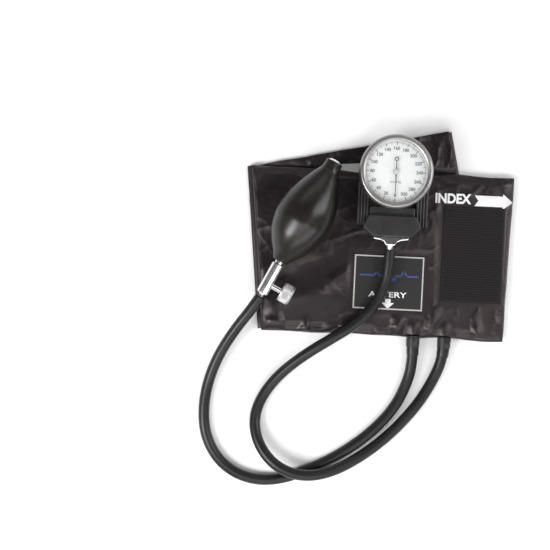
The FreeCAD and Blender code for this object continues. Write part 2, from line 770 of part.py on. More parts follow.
def make_inlet():
    """The chrome inlet: a flat cross bar against the carrier, then a cone that the hose covers."""
    bar = box("inlet_bar", "30", "3.4", "11", "- 15", "bowl_end - 3.4", "inlet_height - 5.5")
    cone = doc.addObject("Part::Cone", "inlet_cone")
    cone.Radius1 = 4.7
    cone.Radius2 = 2.1
    cone.Height = 8.2
    cone.Placement = FreeCAD.Placement(Vector(0, 0, 0), FreeCAD.Rotation(UP, Vector(0, -1, 0)))
    place(cone, "0", "bowl_end - 3.2", "inlet_height")
    bore = cylinder("inlet_bore", "1.3", "13", "0", "bowl_end + 1", "inlet_height", Vector(0, -1, 0))
    keep(cut("inlet_cut", joined("inlet", [bar, cone]), bore), "inlet_fitting", GAUGE)


def make_clip():
    """A steel strip under the carrier, turned back on itself to hook over the strap, with a side tab."""
    upper = box("clip_upper", "24", "50", "0.8", "- 12", "- 25", "15")
    bend = box("clip_bend", "24", "1", "3.7", "- 12", "24", "12.1")
    lower = box("clip_lower", "24", "44", "0.8", "- 12", "- 20", "12.1")
    tab = plate("clip_tab", [
        ("- 12", "9.4"), ("- 31", "8.2"), ("- 44", "7"), ("- 45.4", "5"), ("- 45", "1.8"), ("- 31", "0.6"),
        ("- 12", "0"),
    ], "15", "0.8")
    keep(joined("clip", [upper, bend, lower, tab]), "hanging_clip", GAUGE)
    heads = []
    for side in (-1, 1):
        heads.append(cylinder(f"clip_head_{side + 1}", "1.8", "0.5", "0", f"{side} * 16", "14.45"))
    keep(joined("clip_screw_pair", heads), "clip_screws", GAUGE)


def make_strap():
    """The webbing loop sewn across the cuff, which the clip's lower leg slides under."""
    top = box("strap_top", "36", "20", "0.9", "- 18", "- 8", "13.2")
    feet = []
    for side in (-1, 1):
        feet.append(box(f"strap_leg_{side + 1}", "1", "20", "2.2", f"{side} * 17.5 - 0.5", "- 8", "panel_top"))
        feet.append(box(f"strap_foot_{side + 1}", "7", "20", "0.7", f"{side} * 21 - 3.5", "- 8", "panel_top"))
    keep(joined("strap", [top] + feet), "gauge_strap", GAUGE)


# ---- bulb ----

def smooth_profile(points):
    """A smooth edge through (radius, height) points, in the local XZ plane."""
    spline = Part.BSplineCurve()
    spline.interpolate([Vector(radius, 0, height) for radius, height in points])
    return spline.toShape()


def profile_line(start, end):
    return Part.makeLine(Vector(start[0], 0, start[1]), Vector(end[0], 0, end[1]))


def make_bulb():
    """A pear-shaped rubber bulb: round by its neck and nearly straight towards its tip."""
    length = size("bulb_length")
    widest = size("bulb_radius")
    wall = size("bulb_wall")
    neck_bore = 3.75
    tip_bore = 4.2
    shape = [(0, 0.27), (0.06, 0.40), (0.15, 0.64), (0.26, 0.86), (0.38, 0.98), (0.46, 1.0), (0.58, 0.94),
             (0.72, 0.76), (0.86, 0.51), (0.95, 0.33), (1, 0.27)]
    outside = [(widest * across, length * along) for along, across in shape]
    inside = [(neck_bore, 8)]
    inside += [(widest * across - wall, length * along) for along, across in shape[2:9]]
    inside += [(tip_bore, 83.5)]
    edges = [
        smooth_profile(outside),
        profile_line(outside[-1], (tip_bore, length)),
        profile_line((tip_bore, length), inside[-1]),
        smooth_profile(inside),
        profile_line(inside[0], (neck_bore, 0)),
        profile_line((neck_bore, 0), outside[0]),
    ]
    face = Part.Face(Part.Wire(Part.__sortEdges__(edges)))
    bulb = face.revolve(Vector(0, 0, 0), UP, 360)
    keep(shape_feature("bulb", bulb), "bulb_shell", BULB)


def make_inlet_valve():
    """The bulb's air inlet: a holed seat in the tip, a loose flap disc, its stop ring and a cap."""
    keep(turned("seat", [
        ("1.2", "bulb_length + 1"), ("1.2", "88.5"), ("3.3", "88.5"), ("3.3", "84"), ("4.15", "84"),
        ("4.15", "bulb_length + 0.1"), ("5.6", "bulb_length + 0.1"), ("5.6", "bulb_length + 1"),
    ]), "inlet_valve_seat", BULB)
    keep(turned("flap", [("0", "87.7"), ("2.7", "87.7"), ("2.7", "88.45"), ("0", "88.45")]),
         "inlet_valve_disc", BULB)
    keep(turned("stop", [("1.8", "84"), ("3.25", "84"), ("3.25", "85"), ("1.8", "85")]),
         "inlet_stop_ring", BULB)
    keep(turned("cap", [
        ("0.9", "bulb_length + 1.1"), ("6.1", "bulb_length + 1.1"), ("6.1", "bulb_length + 2.6"),
        ("5.2", "bulb_length + 4"), ("3.4", "bulb_length + 4.9"), ("0.9", "bulb_length + 5.2"),
    ]), "bulb_end_cap", BULB)


# ---- release valve, on the bulb's neck ----

def make_valve_body():
    """Chrome barrel with a spigot in the bulb's neck and a side boss for the release screw."""
    barrel = turned("barrel", [
        ("0", "valve_end"), ("valve_radius - 0.5", "valve_end"), ("valve_radius", "valve_end + 0.6"),
        ("valve_radius", "valve_start - 0.6"), ("valve_radius - 0.5", "valve_start"), ("3.7", "valve_start"),
        ("3.7", "7"), ("0", "7"),
    ])
    boss = cylinder("boss", "2.75", "12.6", z="knob_along", axis=Vector(1, 0, 0))
    bores = [
        cylinder("bore_inlet", "0.9", "20", z="- 6.1"),
        cylinder("bore_chamber", "1.9", "9", z="- 15.1"),
        cylinder("bore_outlet", "1", "18", z="- 32"),
        cylinder("bore_nipple", "1.6", "3", z="valve_end - 0.1"),
        cylinder("bore_seat", "0.6", "4", z="knob_along", axis=Vector(1, 0, 0)),
        cylinder("bore_screw", "stem_radius + 0.05", "12", "3", z="knob_along", axis=Vector(1, 0, 0)),
        cylinder("bore_seal", "2.1", "1.3", "9.8", z="knob_along", axis=Vector(1, 0, 0)),
        cylinder("bore_exhaust", "0.5", "8", "3.6", "0", "knob_along", axis=Vector(0, 1, 0)),
    ]
    keep(cut("valve_cut", joined("valve", [barrel, boss]), joined("valve_bores", bores)), "valve_body", BULB)


def make_check_valve():
    ball = doc.addObject("Part::Sphere", "ball")
    ball.setExpression("Radius", bound("ball_radius"))
    keep(ball, "check_ball", BULB * FreeCAD.Placement(Vector(0, 0, size("ball_along")), FreeCAD.Rotation()))
    pitch = 1.1
    wire_radius = 0.16
    coil_radius = 1.35
    top = size("ball_along") - 1.2
    height = top + 14.6
    helix = Part.makeHelix(pitch, height, coil_radius)
    profile = Part.Wire(Part.makeCircle(wire_radius, Vector(coil_radius, 0, 0), Vector(0, 1, 0)))
    coil = Part.Wire(helix.Edges).makePipeShell([profile], True, True)
    keep(shape_feature("coil", coil), "check_spring",
         BULB * FreeCAD.Placement(Vector(0, 0, -14.6), FreeCAD.Rotation()))
    keep(turned("retainer", [("1.1", "- 15.05"), ("1.85", "- 15.05"), ("1.85", "- 14.8"), ("1.1", "- 14.8")]),
         "spring_seat", BULB)


def make_nipple():
    """Ridged hose nipple, pressed into the barrel's end."""
    keep(turned("nipple", [
        ("0.8", "nipple_end"), ("1.9", "nipple_end"), ("2.3", "nipple_end + 1"), ("1.9", "nipple_end + 1.1"),
        ("2.3", "nipple_end + 2.1"), ("1.9", "nipple_end + 2.2"), ("2.3", "nipple_end + 3.2"),
        ("2.6", "valve_end"), ("1.6", "valve_end"), ("1.6", "valve_end + 2.8"), ("0.8", "valve_end + 2.8"),
    ]), "hose_nipple", BULB)


def knob_frame():
    """Local +Z runs out along the release screw from the barrel's axis."""
    turn = FreeCAD.Rotation(UP, Vector(1, 0, 0))
    return BULB * FreeCAD.Placement(Vector(0, 0, size("knob_along")), turn)


def make_release():
    place_at = knob_frame()
    keep(turned("screw", [
        ("0", "3.05"), ("0.5", "3.05"), ("0.9", "4.2"), ("stem_radius", "4.6"), ("stem_radius", "knob_start + 7"),
        ("0", "knob_start + 7"),
    ]), "release_screw", place_at)
    seal = doc.addObject("Part::Torus", "seal")
    seal.Radius1 = 1.78
    seal.Radius2 = 0.3
    keep(seal, "screw_seal", place_at * FreeCAD.Placement(Vector(0, 0, 10.4), FreeCAD.Rotation()))
    knob = turned("knob", [
        ("stem_radius + 0.05", "knob_start"), ("knob_radius - 1", "knob_start"),
        ("knob_radius", "knob_start + 0.8"), ("knob_radius", "knob_start + knob_length - 1.6"),
        ("knob_radius - 1.6", "knob_start + knob_length"), ("0", "knob_start + knob_length"),
        ("0", "knob_start + 7.05"), ("stem_radius + 0.05", "knob_start + 7.05"),
    ])
    keep(knob, "release_knob", place_at)


# ---- hoses ----

def hose(route, radius):
    """A round hose along straight runs joined by tangent arcs, each as large as its runs allow."""
    points = [Vector(*point) for point in route]
    edges = []
    start = points[0]
    radii = []
    for before, corner, after in zip(points, points[1:], points[2:]):
        back = (before - corner).normalize()
        ahead = (after - corner).normalize()
        reach = 0.45 * min(before.distanceToPoint(corner), after.distanceToPoint(corner))
        turn = math.pi - back.getAngle(ahead)
        bend = reach / math.tan(turn / 2)
        radii.append(bend)
        middle_way = (back + ahead).normalize()
        centre = corner + middle_way * math.hypot(bend, reach)
        middle = centre - middle_way * bend
        enter = corner + back * reach
        leave = corner + ahead * reach
        edges.append(Part.LineSegment(start, enter).toShape())
        edges.append(Part.Arc(enter, middle, leave).toShape())
        start = leave
    edges.append(Part.LineSegment(start, points[-1]).toShape())
    path = Part.Wire(edges)
    profile = Part.Wire(Part.makeCircle(radius, points[0], points[1] - points[0]))
    tube = path.makePipeShell([profile], True, False)
    section = math.pi * radius ** 2
    print(f"hose {path.Length:.0f} mm long, radii {min(radii):.0f} to {max(radii):.0f} mm,"
          f" volume over section times length {tube.Volume / (section * path.Length):.4f}")
    return tube


def make_hoses():
    radius = size("hose_diameter") / 2
    keep(shape_feature("bulb_hose_tube", hose(BULB_HOSE_ROUTE, radius)), "bulb_hose")
    keep(shape_feature("gauge_hose_tube", hose(GAUGE_HOSE_ROUTE, radius)), "gauge_hose")


def write_parts():
    """Writes each sub-part, after every object has proved whole."""
    doc.recompute()
    for item in doc.Objects:
        if "Invalid" in item.State or "Error" in item.State:
            raise RuntimeError(f"{item.Name} failed: {item.State}")
    for item in finished:
        if item.Shape.isNull() or not item.Shape.isValid() or item.Shape.Volume <= 0:
            raise RuntimeError(f"{item.Label} has no sound shape")
    os.makedirs("parts", exist_ok=True)
    for item in finished:
        item.Shape.exportStep(f"parts/{item.Label}.step")


make_inner_sheet_front()
make_outer_sheet_front()
make_bladder()
make_neck("left")
make_neck("right")
make_patches()
make_tail()
make_end()
make_case()
make_window()
make_dial()
make_movement_frame()
make_capsule()
make_rocker()
make_gears()
make_hairspring()
make_pointer()
make_carrier()
make_rail(-1)
make_rail(1)
make_inlet()
make_clip()
make_strap()
make_bulb()
make_inlet_valve()
make_valve_body()
make_check_valve()
make_nipple()
make_release()
make_hoses()
write_parts()
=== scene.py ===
"""Looks of the blood pressure cuff: cloth, rubber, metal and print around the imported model.

Lengths here are millimetres and are scaled to metres where a mesh is made.
"""
import json
import math

import bmesh
import bpy
from mathutils import Matrix, Vector, noise


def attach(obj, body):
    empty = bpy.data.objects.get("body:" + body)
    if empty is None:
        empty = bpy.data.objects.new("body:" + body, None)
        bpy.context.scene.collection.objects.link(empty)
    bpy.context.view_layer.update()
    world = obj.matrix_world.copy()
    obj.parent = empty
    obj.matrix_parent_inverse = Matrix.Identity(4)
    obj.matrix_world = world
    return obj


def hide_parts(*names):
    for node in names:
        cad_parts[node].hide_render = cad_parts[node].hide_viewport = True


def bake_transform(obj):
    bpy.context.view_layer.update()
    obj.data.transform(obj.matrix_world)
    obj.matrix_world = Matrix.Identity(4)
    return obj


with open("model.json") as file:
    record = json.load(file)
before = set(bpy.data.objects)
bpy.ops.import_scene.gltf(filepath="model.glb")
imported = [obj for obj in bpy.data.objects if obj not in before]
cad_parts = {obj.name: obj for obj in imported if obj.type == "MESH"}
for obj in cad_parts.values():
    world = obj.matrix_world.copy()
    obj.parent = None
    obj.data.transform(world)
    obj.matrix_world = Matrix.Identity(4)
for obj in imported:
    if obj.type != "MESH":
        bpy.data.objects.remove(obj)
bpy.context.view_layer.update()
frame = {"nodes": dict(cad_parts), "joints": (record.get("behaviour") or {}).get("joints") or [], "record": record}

MM = 0.001
JOINTS = {joint["name"]: joint for joint in frame["joints"]}

# ---- sizes shared with the model, in millimetres and degrees ----
PANEL_CENTRE = (-0.1, -14.2)
PANEL_TILT = -2.8
PANEL_HALF = 109.8
STRIP_HALF = 70.0
CLOTH_SPARE = 1.3
NECKS = (31.4, 58.3)
FOLD_SKEW = 6.35
FOLD_GAP = 1.5
TAIL_TILT = 9.9
TAIL_LENGTH = 185.4
END_LENGTH = 130.0
PANEL_BOTTOM = 5.0
PANEL_TOP = 11.8
HOOK = (78.6, 2.1, 52.7, 82.6)
LABEL = (7.4, -25.4, 61.0, 47.5)
HOSE_DIAMETER = 9.5
HOSE_WEIGHT = 0.005

# Sizes of the looks alone: the seams' distance from the edge, the heights of the ink, and the dial's scale.
SEAM_INSET = 4.7
LABEL_INK = 12.46
PULSE_INK = 12.47
DIAL_INK = 43.84
CLOTH_INK_LIFT = 0.42
DEGREES_PER_UNIT = 22.5 / 20

BULB_HOSE_ROUTE = [
    (-104.7, -51.8, 29.3),
    (-111.8, -62.0, 27.8),
    (-126.5, -80.0, 20.5),
    (-141.0, -102.5, 10.5),
    (-150.5, -126.0, 5.0),
    (-154.5, -149.0, 4.75),
    (-153.0, -171.0, 4.75),
    (-144.5, -190.0, 4.75),
    (-130.0, -204.0, 4.75),
    (-110.0, -211.5, 4.75),
    (-88.0, -211.0, 4.75),
    (-64.0, -203.0, 4.75),
    (-37.0, -190.5, 4.75),
    (-9.0, -171.0, 4.75),
    (12.5, -148.5, 4.75),
    (24.0, -124.5, 5.2),
    (27.3, -107.5, 7.2),
    (27.5, -95.2, 8.3),
]
GAUGE_HOSE_ROUTE = [
    (6.1, -12.3, 24.0),
    (5.5, -24.0, 23.2),
    (3.0, -40.5, 21.0),
    (-5.5, -58.0, 20.0),
    (-21.0, -74.0, 20.0),
    (-42.0, -87.0, 19.5),
    (-66.5, -102.0, 14.0),
    (-87.5, -118.5, 7.5),
    (-102.0, -136.0, 4.75),
    (-110.0, -154.5, 5.5),
    (-109.0, -172.5, 9.0),
    (-100.5, -189.0, 13.5),
    (-86.5, -200.8, 17.3),
    (-67.0, -206.5, 18.2),
    (-44.0, -203.5, 14.5),
    (-18.0, -191.5, 7.0),
    (7.5, -172.5, 4.75),
    (28.5, -150.5, 4.75),
    (41.0, -132.5, 4.75),
    (48.8, -117.5, 5.6),
    (52.7, -106.8, 7.2),
    (54.2, -96.4, 8.3),
]


def place_frame(x, y, degrees, z=0.0):
    """A frame at a point of the table, turned about +Z, in millimetres."""
    return Matrix.Translation((x, y, z)) @ Matrix.Rotation(math.radians(degrees), 4, "Z")


PANEL = place_frame(*PANEL_CENTRE, PANEL_TILT)
fold_middle = Vector(JOINTS["tail_unfold"]["pos_m"]) / MM
TAIL = place_frame(fold_middle.x, fold_middle.y, TAIL_TILT)
gauge_centre = Vector(JOINTS["pointer_turn"]["pos_m"]) / MM
GAUGE = place_frame(gauge_centre.x, gauge_centre.y, PANEL_TILT)


def axis_frame(origin, along, across):
    """A frame whose local Z is along and whose local X is across."""
    z = Vector(along).normalized()
    x = Vector(across).normalized()
    y = z.cross(x)
    matrix = Matrix((x, y, z)).transposed().to_4x4()
    return Matrix.Translation(origin) @ matrix


knob_axis = Vector(JOINTS["knob_turn"]["axis"])
bulb_axis = -Vector(JOINTS["flap_lift"]["axis"])
knob_origin = Vector(JOINTS["knob_turn"]["pos_m"]) / MM
KNOB_ALONG = -21.7
BULB = axis_frame(knob_origin - bulb_axis * KNOB_ALONG, bulb_axis, knob_axis)
KNOB = axis_frame(knob_origin, knob_axis, -bulb_axis)


# ---- camera and hoses ----

def make_camera():
    data = bpy.data.cameras.new("camera")
    data.sensor_width = 36
    data.lens = 74.8
    camera = bpy.data.objects.new("camera", data)
    camera.location = (-0.092, -0.0332, 1.0)
    bpy.context.scene.collection.objects.link(camera)
    bpy.context.scene.camera = camera


def make_hose(name, route, node):
    """A round hose on one smooth line through its route."""
    curve = bpy.data.curves.new(name, "CURVE")
    curve.dimensions = "3D"
    spline = curve.splines.new("NURBS")
    spline.points.add(len(route) - 1)
    for point, place in zip(spline.points, route):
        point.co = (*(value * MM for value in place), 1)
        point.radius = HOSE_WEIGHT
    spline.order_u = 3
    spline.use_endpoint_u = True
    spline.resolution_u = 16
    curve.bevel_depth = HOSE_DIAMETER / 2 * MM / HOSE_WEIGHT
    curve.bevel_resolution = 10
    curve.use_fill_caps = True
    piece = bpy.data.objects.new(name, curve)
    bpy.context.scene.collection.objects.link(piece)
    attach(piece, "root")
    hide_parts(node)
    return piece


make_camera()
hoses = [
    make_hose("bulb_hose_tube", BULB_HOSE_ROUTE, "bulb_hose"),
    make_hose("gauge_hose_tube", GAUGE_HOSE_ROUTE, "gauge_hose"),
]


# ---- materials ----

class Nodes:
    """A material's node tree, with short calls for the nodes used here."""

    def __init__(self, name):
        self.material = bpy.data.materials.new(name)
        self.material.use_nodes = True
        self.tree = self.material.node_tree
        self.tree.nodes.clear()
        self.shader = self.add("ShaderNodeBsdfPrincipled")
        output = self.add("ShaderNodeOutputMaterial")
        self.link(self.shader.outputs["BSDF"], output.inputs["Surface"])
        self.place = self.add("ShaderNodeTexCoord").outputs["Object"]

    def add(self, kind, **values):
        node = self.tree.nodes.new(kind)
        for key, value in values.items():
            setattr(node, key, value)
        return node

    def link(self, start, end):
        self.tree.links.new(start, end)

    def noise(self, scale, detail=3.0, roughness=0.5, stretch=None):
        """Noise of a given number of cycles per metre."""
        node = self.add("ShaderNodeTexNoise")
        node.inputs["Scale"].default_value = scale
        node.inputs["Detail"].default_value = detail
        node.inputs["Roughness"].default_value = roughness
        place = self.place
        if stretch is not None:
            mapping = self.add("ShaderNodeMapping")
            mapping.inputs["Scale"].default_value = stretch
            self.link(place, mapping.inputs["Vector"])
            place = mapping.outputs["Vector"]
        self.link(place, node.inputs["Vector"])
        return node.outputs["Fac"]

    def wave(self, scale, direction, turn=0.0):
        """Straight stripes, for the threads of a weave."""
        mapping = self.add("ShaderNodeMapping")
        mapping.inputs["Rotation"].default_value = (0, 0, math.radians(turn))
        self.link(self.place, mapping.inputs["Vector"])
        node = self.add("ShaderNodeTexWave", bands_direction=direction)
        node.inputs["Scale"].default_value = scale
        self.link(mapping.outputs["Vector"], node.inputs["Vector"])
        return node.outputs["Fac"]

    def mix(self, kind, first, second):
        node = self.add("ShaderNodeMath", operation=kind)
        for socket, value in zip(node.inputs, (first, second)):
            if isinstance(value, (int, float)):
                socket.default_value = value
            else:
                self.link(value, socket)
        return node.outputs["Value"]

    def spread(self, value, low, high):
        """Maps a 0 to 1 value to a range."""
        node = self.add("ShaderNodeMapRange")
        self.link(value, node.inputs["Value"])
        node.inputs["From Min"].default_value = 0.25
        node.inputs["From Max"].default_value = 0.75
        node.inputs["To Min"].default_value = low
        node.inputs["To Max"].default_value = high
        return node.outputs["Result"]

    def colours(self, value, first, second):
        node = self.add("ShaderNodeValToRGB")
        node.color_ramp.elements[0].color = (*first, 1)
        node.color_ramp.elements[1].color = (*second, 1)
        node.color_ramp.elements[0].position = 0.3
        node.color_ramp.elements[1].position = 0.7
        self.link(value, node.inputs["Fac"])
        self.link(node.outputs["Color"], self.shader.inputs["Base Color"])

    def roughness(self, value, low, high):
        self.link(self.spread(value, low, high), self.shader.inputs["Roughness"])

    def bump(self, value, height, strength=1.0):
        """Raises the surface by up to height metres."""
        node = self.add("ShaderNodeBump")
        node.inputs["Strength"].default_value = strength
        node.inputs["Distance"].default_value = height
        self.link(value, node.inputs["Height"])
        self.link(node.outputs["Normal"], self.shader.inputs["Normal"])

    def set(self, **values):
        for key, value in values.items():
            self.shader.inputs[key.replace("_", " ")].default_value = value


def nylon_material():
    """Coated nylon: a fine plain weave with a soft gloss, its tone varying in broad random patches."""
    nodes = Nodes("coated_nylon")
    broad = nodes.noise(26, 2)
    fine = nodes.noise(420, 3)
    nodes.colours(broad, (0.0022, 0.0016, 0.0018), (0.0055, 0.0038, 0.0043))
    nodes.roughness(broad, 0.33, 0.44)
    weave = nodes.mix("MULTIPLY", nodes.wave(800, "X", 2.8), nodes.wave(800, "Y", 2.8))
    nodes.bump(nodes.mix("ADD", nodes.mix("MULTIPLY", weave, 0.3), fine), 0.00008, 0.5)
    nodes.set(Specular_IOR_Level=0.55, Specular_Tint=(1.0, 0.86, 0.88, 1))
    nodes.set(Sheen_Weight=0.02, Sheen_Roughness=0.4, Sheen_Tint=(0.8, 0.6, 0.63, 1))
    return nodes.material


def tape_material(name, tone, scale, height):
    """Matte tape with a fuzzy pile."""
    nodes = Nodes(name)
    pile = nodes.noise(scale, 4, 0.7)
    nodes.colours(pile, tuple(value * 0.6 for value in tone), tuple(value * 1.5 for value in tone))
    nodes.roughness(pile, 0.75, 0.95)
    nodes.bump(pile, height, 0.8)
    nodes.set(Sheen_Weight=0.06, Sheen_Roughness=0.6, Specular_IOR_Level=0.2)
    return nodes.material


def rubber_material(name, tone, low, high, specular=0.45):
    """Satin rubber with a faint bloom and a fine moulded grain."""
    nodes = Nodes(name)
    bloom = nodes.noise(45, 4)
    nodes.colours(bloom, tuple(value * 0.8 for value in tone), tuple(value * 1.25 for value in tone))
    nodes.roughness(bloom, low, high)
    nodes.bump(nodes.noise(1500, 3), 0.00002, 0.5)
    nodes.set(Specular_IOR_Level=specular)
    return nodes.material


def metal_material(name, tone, low, high, grain=300, height=0.00002):
    """Metal with faint handling marks."""
    nodes = Nodes(name)
    marks = nodes.noise(grain, 4, 0.6)
    nodes.colours(marks, tuple(value * 0.92 for value in tone), tone)
    nodes.roughness(marks, low, high)
    nodes.bump(marks, height, 0.5)
    nodes.set(Metallic=1.0)
    return nodes.material


def plastic_material(name, tone, low, high):
    nodes = Nodes(name)
    grain = nodes.noise(900, 3)
    broad = nodes.noise(60, 2)
    nodes.colours(broad, tuple(value * 0.85 for value in tone), tuple(value * 1.15 for value in tone))
    nodes.roughness(broad, low, high)
    nodes.bump(grain, 0.00003, 0.5)
    return nodes.material


def glass_material():
    nodes = Nodes("window_glass")
    nodes.roughness(nodes.noise(30, 2), 0.03, 0.06)
    nodes.set(Base_Color=(0.9, 0.93, 0.95, 1), Alpha=0.1, Specular_IOR_Level=0.6)
    return nodes.material


def print_material(name, tone, rough=0.5):
    """Printed ink with slight unevenness."""
    nodes = Nodes(name)
    wear = nodes.noise(700, 3)
    nodes.colours(wear, tuple(value * 0.9 for value in tone), tone)
    nodes.roughness(wear, rough - 0.08, rough + 0.08)
    return nodes.material


MATERIALS = {
    "nylon": nylon_material(),
    "thread": tape_material("sewing_thread", (0.02, 0.018, 0.019), 3000, 0.00005),
    "hook_tape": tape_material("hook_pile", (0.0085, 0.007, 0.007), 2200, 0.0002),
    "loop_tape": tape_material("loop_pile", (0.02, 0.02, 0.021), 1600, 0.0004),
    "webbing": tape_material("webbing_weave", (0.022, 0.021, 0.022), 1400, 0.0002),
    "label": print_material("label_ground", (0.0062, 0.0052, 0.0052), 0.5),
    "bladder_rubber": rubber_material("bladder_skin", (0.016, 0.016, 0.017), 0.42, 0.55),
    "hose_rubber": rubber_material("hose_skin", (0.0085, 0.0078, 0.0078), 0.33, 0.42, 0.36),
    "bulb_rubber": rubber_material("bulb_skin", (0.0078, 0.006, 0.0053), 0.28, 0.33, 0.44),
    "seal_rubber": rubber_material("seal_skin", (0.02, 0.02, 0.02), 0.5, 0.6),
    "satin_metal": metal_material("satin_aluminium", (0.36, 0.35, 0.345), 0.34, 0.44),
    "knob_metal": metal_material("knob_aluminium", (0.56, 0.545, 0.545), 0.42, 0.52),
    "steel": metal_material("satin_steel", (0.68, 0.67, 0.66), 0.42, 0.55),
    "chrome": metal_material("bright_chrome", (0.84, 0.84, 0.84), 0.13, 0.22, 120),
    "brass": metal_material("brass_machined", (0.75, 0.55, 0.25), 0.25, 0.38),
    "bronze": metal_material("bronze_stamped", (0.66, 0.42, 0.25), 0.25, 0.35),
    "spring_steel": metal_material("spring_wire", (0.5, 0.5, 0.52), 0.25, 0.35),
    "moulded_black": plastic_material("moulded_plastic", (0.016, 0.0145, 0.0142), 0.36, 0.46),
    "dial_face": print_material("dial_enamel", (0.76, 0.755, 0.755), 0.45),
    "needle": print_material("needle_paint", (0.03, 0.03, 0.03), 0.4),
    "window": glass_material(),
    "ink_white": print_material("white_ink", (0.73, 0.725, 0.73), 0.55),
    "ink_grey": print_material("grey_ink", (0.42, 0.41, 0.40), 0.6),
    "ink_blue": print_material("blue_ink", (0.03, 0.055, 0.2), 0.5),
    "ink_black": print_material("black_ink", (0.02, 0.02, 0.02), 0.5),
}


def dress_nodes():
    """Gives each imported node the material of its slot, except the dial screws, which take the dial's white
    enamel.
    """
    for entry in frame["record"]["subparts"]:
        piece = frame["nodes"][entry["node"]]
        piece.data.materials.clear()
        painted = "dial_face" if entry["node"] == "dial_screws" else entry["material_slot"]
        piece.data.materials.append(MATERIALS[painted])


# ---- mesh helpers ----

def new_piece(name, corners, faces, body, slot, material=None, place=None, smooth=True):
    """A mesh piece from millimetre corners in a local frame."""
    place = place or Matrix.Identity(4)
    scale = Matrix.Scale(MM, 4)
    mesh = bpy.data.meshes.new(name)
    mesh.from_pydata([tuple(scale @ (place @ Vector(corner))) for corner in corners], [], faces)
    mesh.validate()
    if smooth:
        mesh.shade_smooth()
    mesh.materials.append(MATERIALS[material or slot])
    piece = bpy.data.objects.new(name, mesh)
    bpy.context.scene.collection.objects.link(piece)
    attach(piece, body)
    return piece


def rounded(points, amount=0.4, steps=3):
    """An open profile with each inner corner rounded by up to amount millimetres."""
    result = [points[0]]
    for before, corner, after in zip(points, points[1:], points[2:]):
        corner = Vector(corner)
        back = Vector(before) - corner
        ahead = Vector(after) - corner
        reach = min(amount, 0.45 * back.length, 0.45 * ahead.length)
        start = corner + back.normalized() * reach
        end = corner + ahead.normalized() * reach
        for step in range(steps + 1):
            t = step / steps
            point = start * (1 - t) ** 2 + corner * 2 * t * (1 - t) + end * t ** 2
            result.append((point.x, point.y))
    result.append(points[-1])
    return result


def smoothed(points, steps=6):
    """A Catmull-Rom line through the points of a profile."""
    knots = [points[0]] + list(points) + [points[-1]]
    result = []
    for a, b, c, d in zip(knots, knots[1:], knots[2:], knots[3:]):
        for step in range(steps):
            t = step / steps
            result.append(tuple(
                0.5 * (2 * q + (r - p) * t + (2 * p - 5 * q + 4 * r - s) * t ** 2
                       + (3 * q - p - 3 * r + s) * t ** 3)
                for p, q, r, s in zip(a, b, c, d)))
    result.append(tuple(points[-1]))
    return result


def lathe(name, profile, place, body, slot, segments=96, ripple=None, material=None, closed=False):
    """A profile of (radius, height) spun about local Z. ripple(angle, height) adds to the radius."""
    corners = []
    rows = []
    for radius, height in profile:
        if radius < 1e-6:
            rows.append([len(corners)])
            corners.append((0, 0, height))
            continue
        rows.append(list(range(len(corners), len(corners) + segments)))
        for i in range(segments):
            angle = 2 * math.pi * i / segments
            r = radius + (ripple(angle, height) if ripple else 0)
            corners.append((r * math.cos(angle), r * math.sin(angle), height))
    faces = []
    pairs = list(zip(rows, rows[1:]))
    if closed:
        pairs.append((rows[-1], rows[0]))
    for low, high in pairs:
        for i in range(segments):
            j = (i + 1) % segments
            if len(low) == 1 and len(high) == 1:
                continue
            if len(low) == 1:
                faces.append((low[0], high[j], high[i]))
            elif len(high) == 1:
                faces.append((low[i], low[j], high[0]))
            else:
                faces.append((low[i], low[j], high[j], high[i]))
    piece = new_piece(name, corners, faces, body, slot, material, place)
    return outward(piece)


def outward(piece):
    """Turns every face of a closed piece outwards."""
    shell = bmesh.new()
    shell.from_mesh(piece.data)
    bmesh.ops.recalc_face_normals(shell, faces=shell.faces)
    shell.to_mesh(piece.data)
    shell.free()
    return piece


def sharpen(piece, degrees=38):
    """Keeps edges sharper than an angle crisp."""
    piece.data.set_sharp_from_angle(angle=math.radians(degrees))
    return piece


def bevelled(piece, width, segments=2):
    """Rounds the sharp edges of a hard piece."""
    modifier = piece.modifiers.new("rounding", "BEVEL")
    modifier.width = width * MM
    modifier.segments = segments
    modifier.limit_method = "ANGLE"
    modifier.angle_limit = math.radians(35)
    modifier.harden_normals = False
    return piece


def prism(name, outline, low, high, place, body, slot, material=None, bevel=0.0):
    """An upright plate with the given outline, in millimetres."""
    count = len(outline)
    corners = [(x, y, low) for x, y in outline] + [(x, y, high) for x, y in outline]
    faces = [tuple(reversed(range(count))), tuple(range(count, 2 * count))]
    faces += [(i, (i + 1) % count, count + (i + 1) % count, count + i) for i in range(count)]
    piece = outward(new_piece(name, corners, faces, body, slot, material, place, smooth=False))
    if bevel:
        bevelled(piece, bevel)
    return piece


# ---- cloth ----

def step(value, low, high):
    """Rises smoothly from 0 at low to 1 at high."""
    t = min(max((value - low) / (high - low), 0.0), 1.0)
    return t * t * (3 - 2 * t)


def folds(x, y, angle, wide, long, seed):
    """Soft folds running along an angle, from about -1 to 1."""
    c = math.cos(math.radians(angle))
    s = math.sin(math.radians(angle))
    return noise.noise(((x * c + y * s) / long, (y * c - x * s) / wide, seed)) * 1.6


def creases(x, y, angle, wide, long, seed):
    """Sharp thin ridges between slack areas, from 0 to 1."""
    return max(0.0, 1 - 2.6 * abs(folds(x, y, angle, wide, long, seed) / 1.6)) ** 2


def panel_left(q):
    return -PANEL_HALF + FOLD_GAP - q * math.tan(math.radians(FOLD_SKEW))


def panel_right(q):
    return PANEL_HALF + 1.4 + 0.028 * q


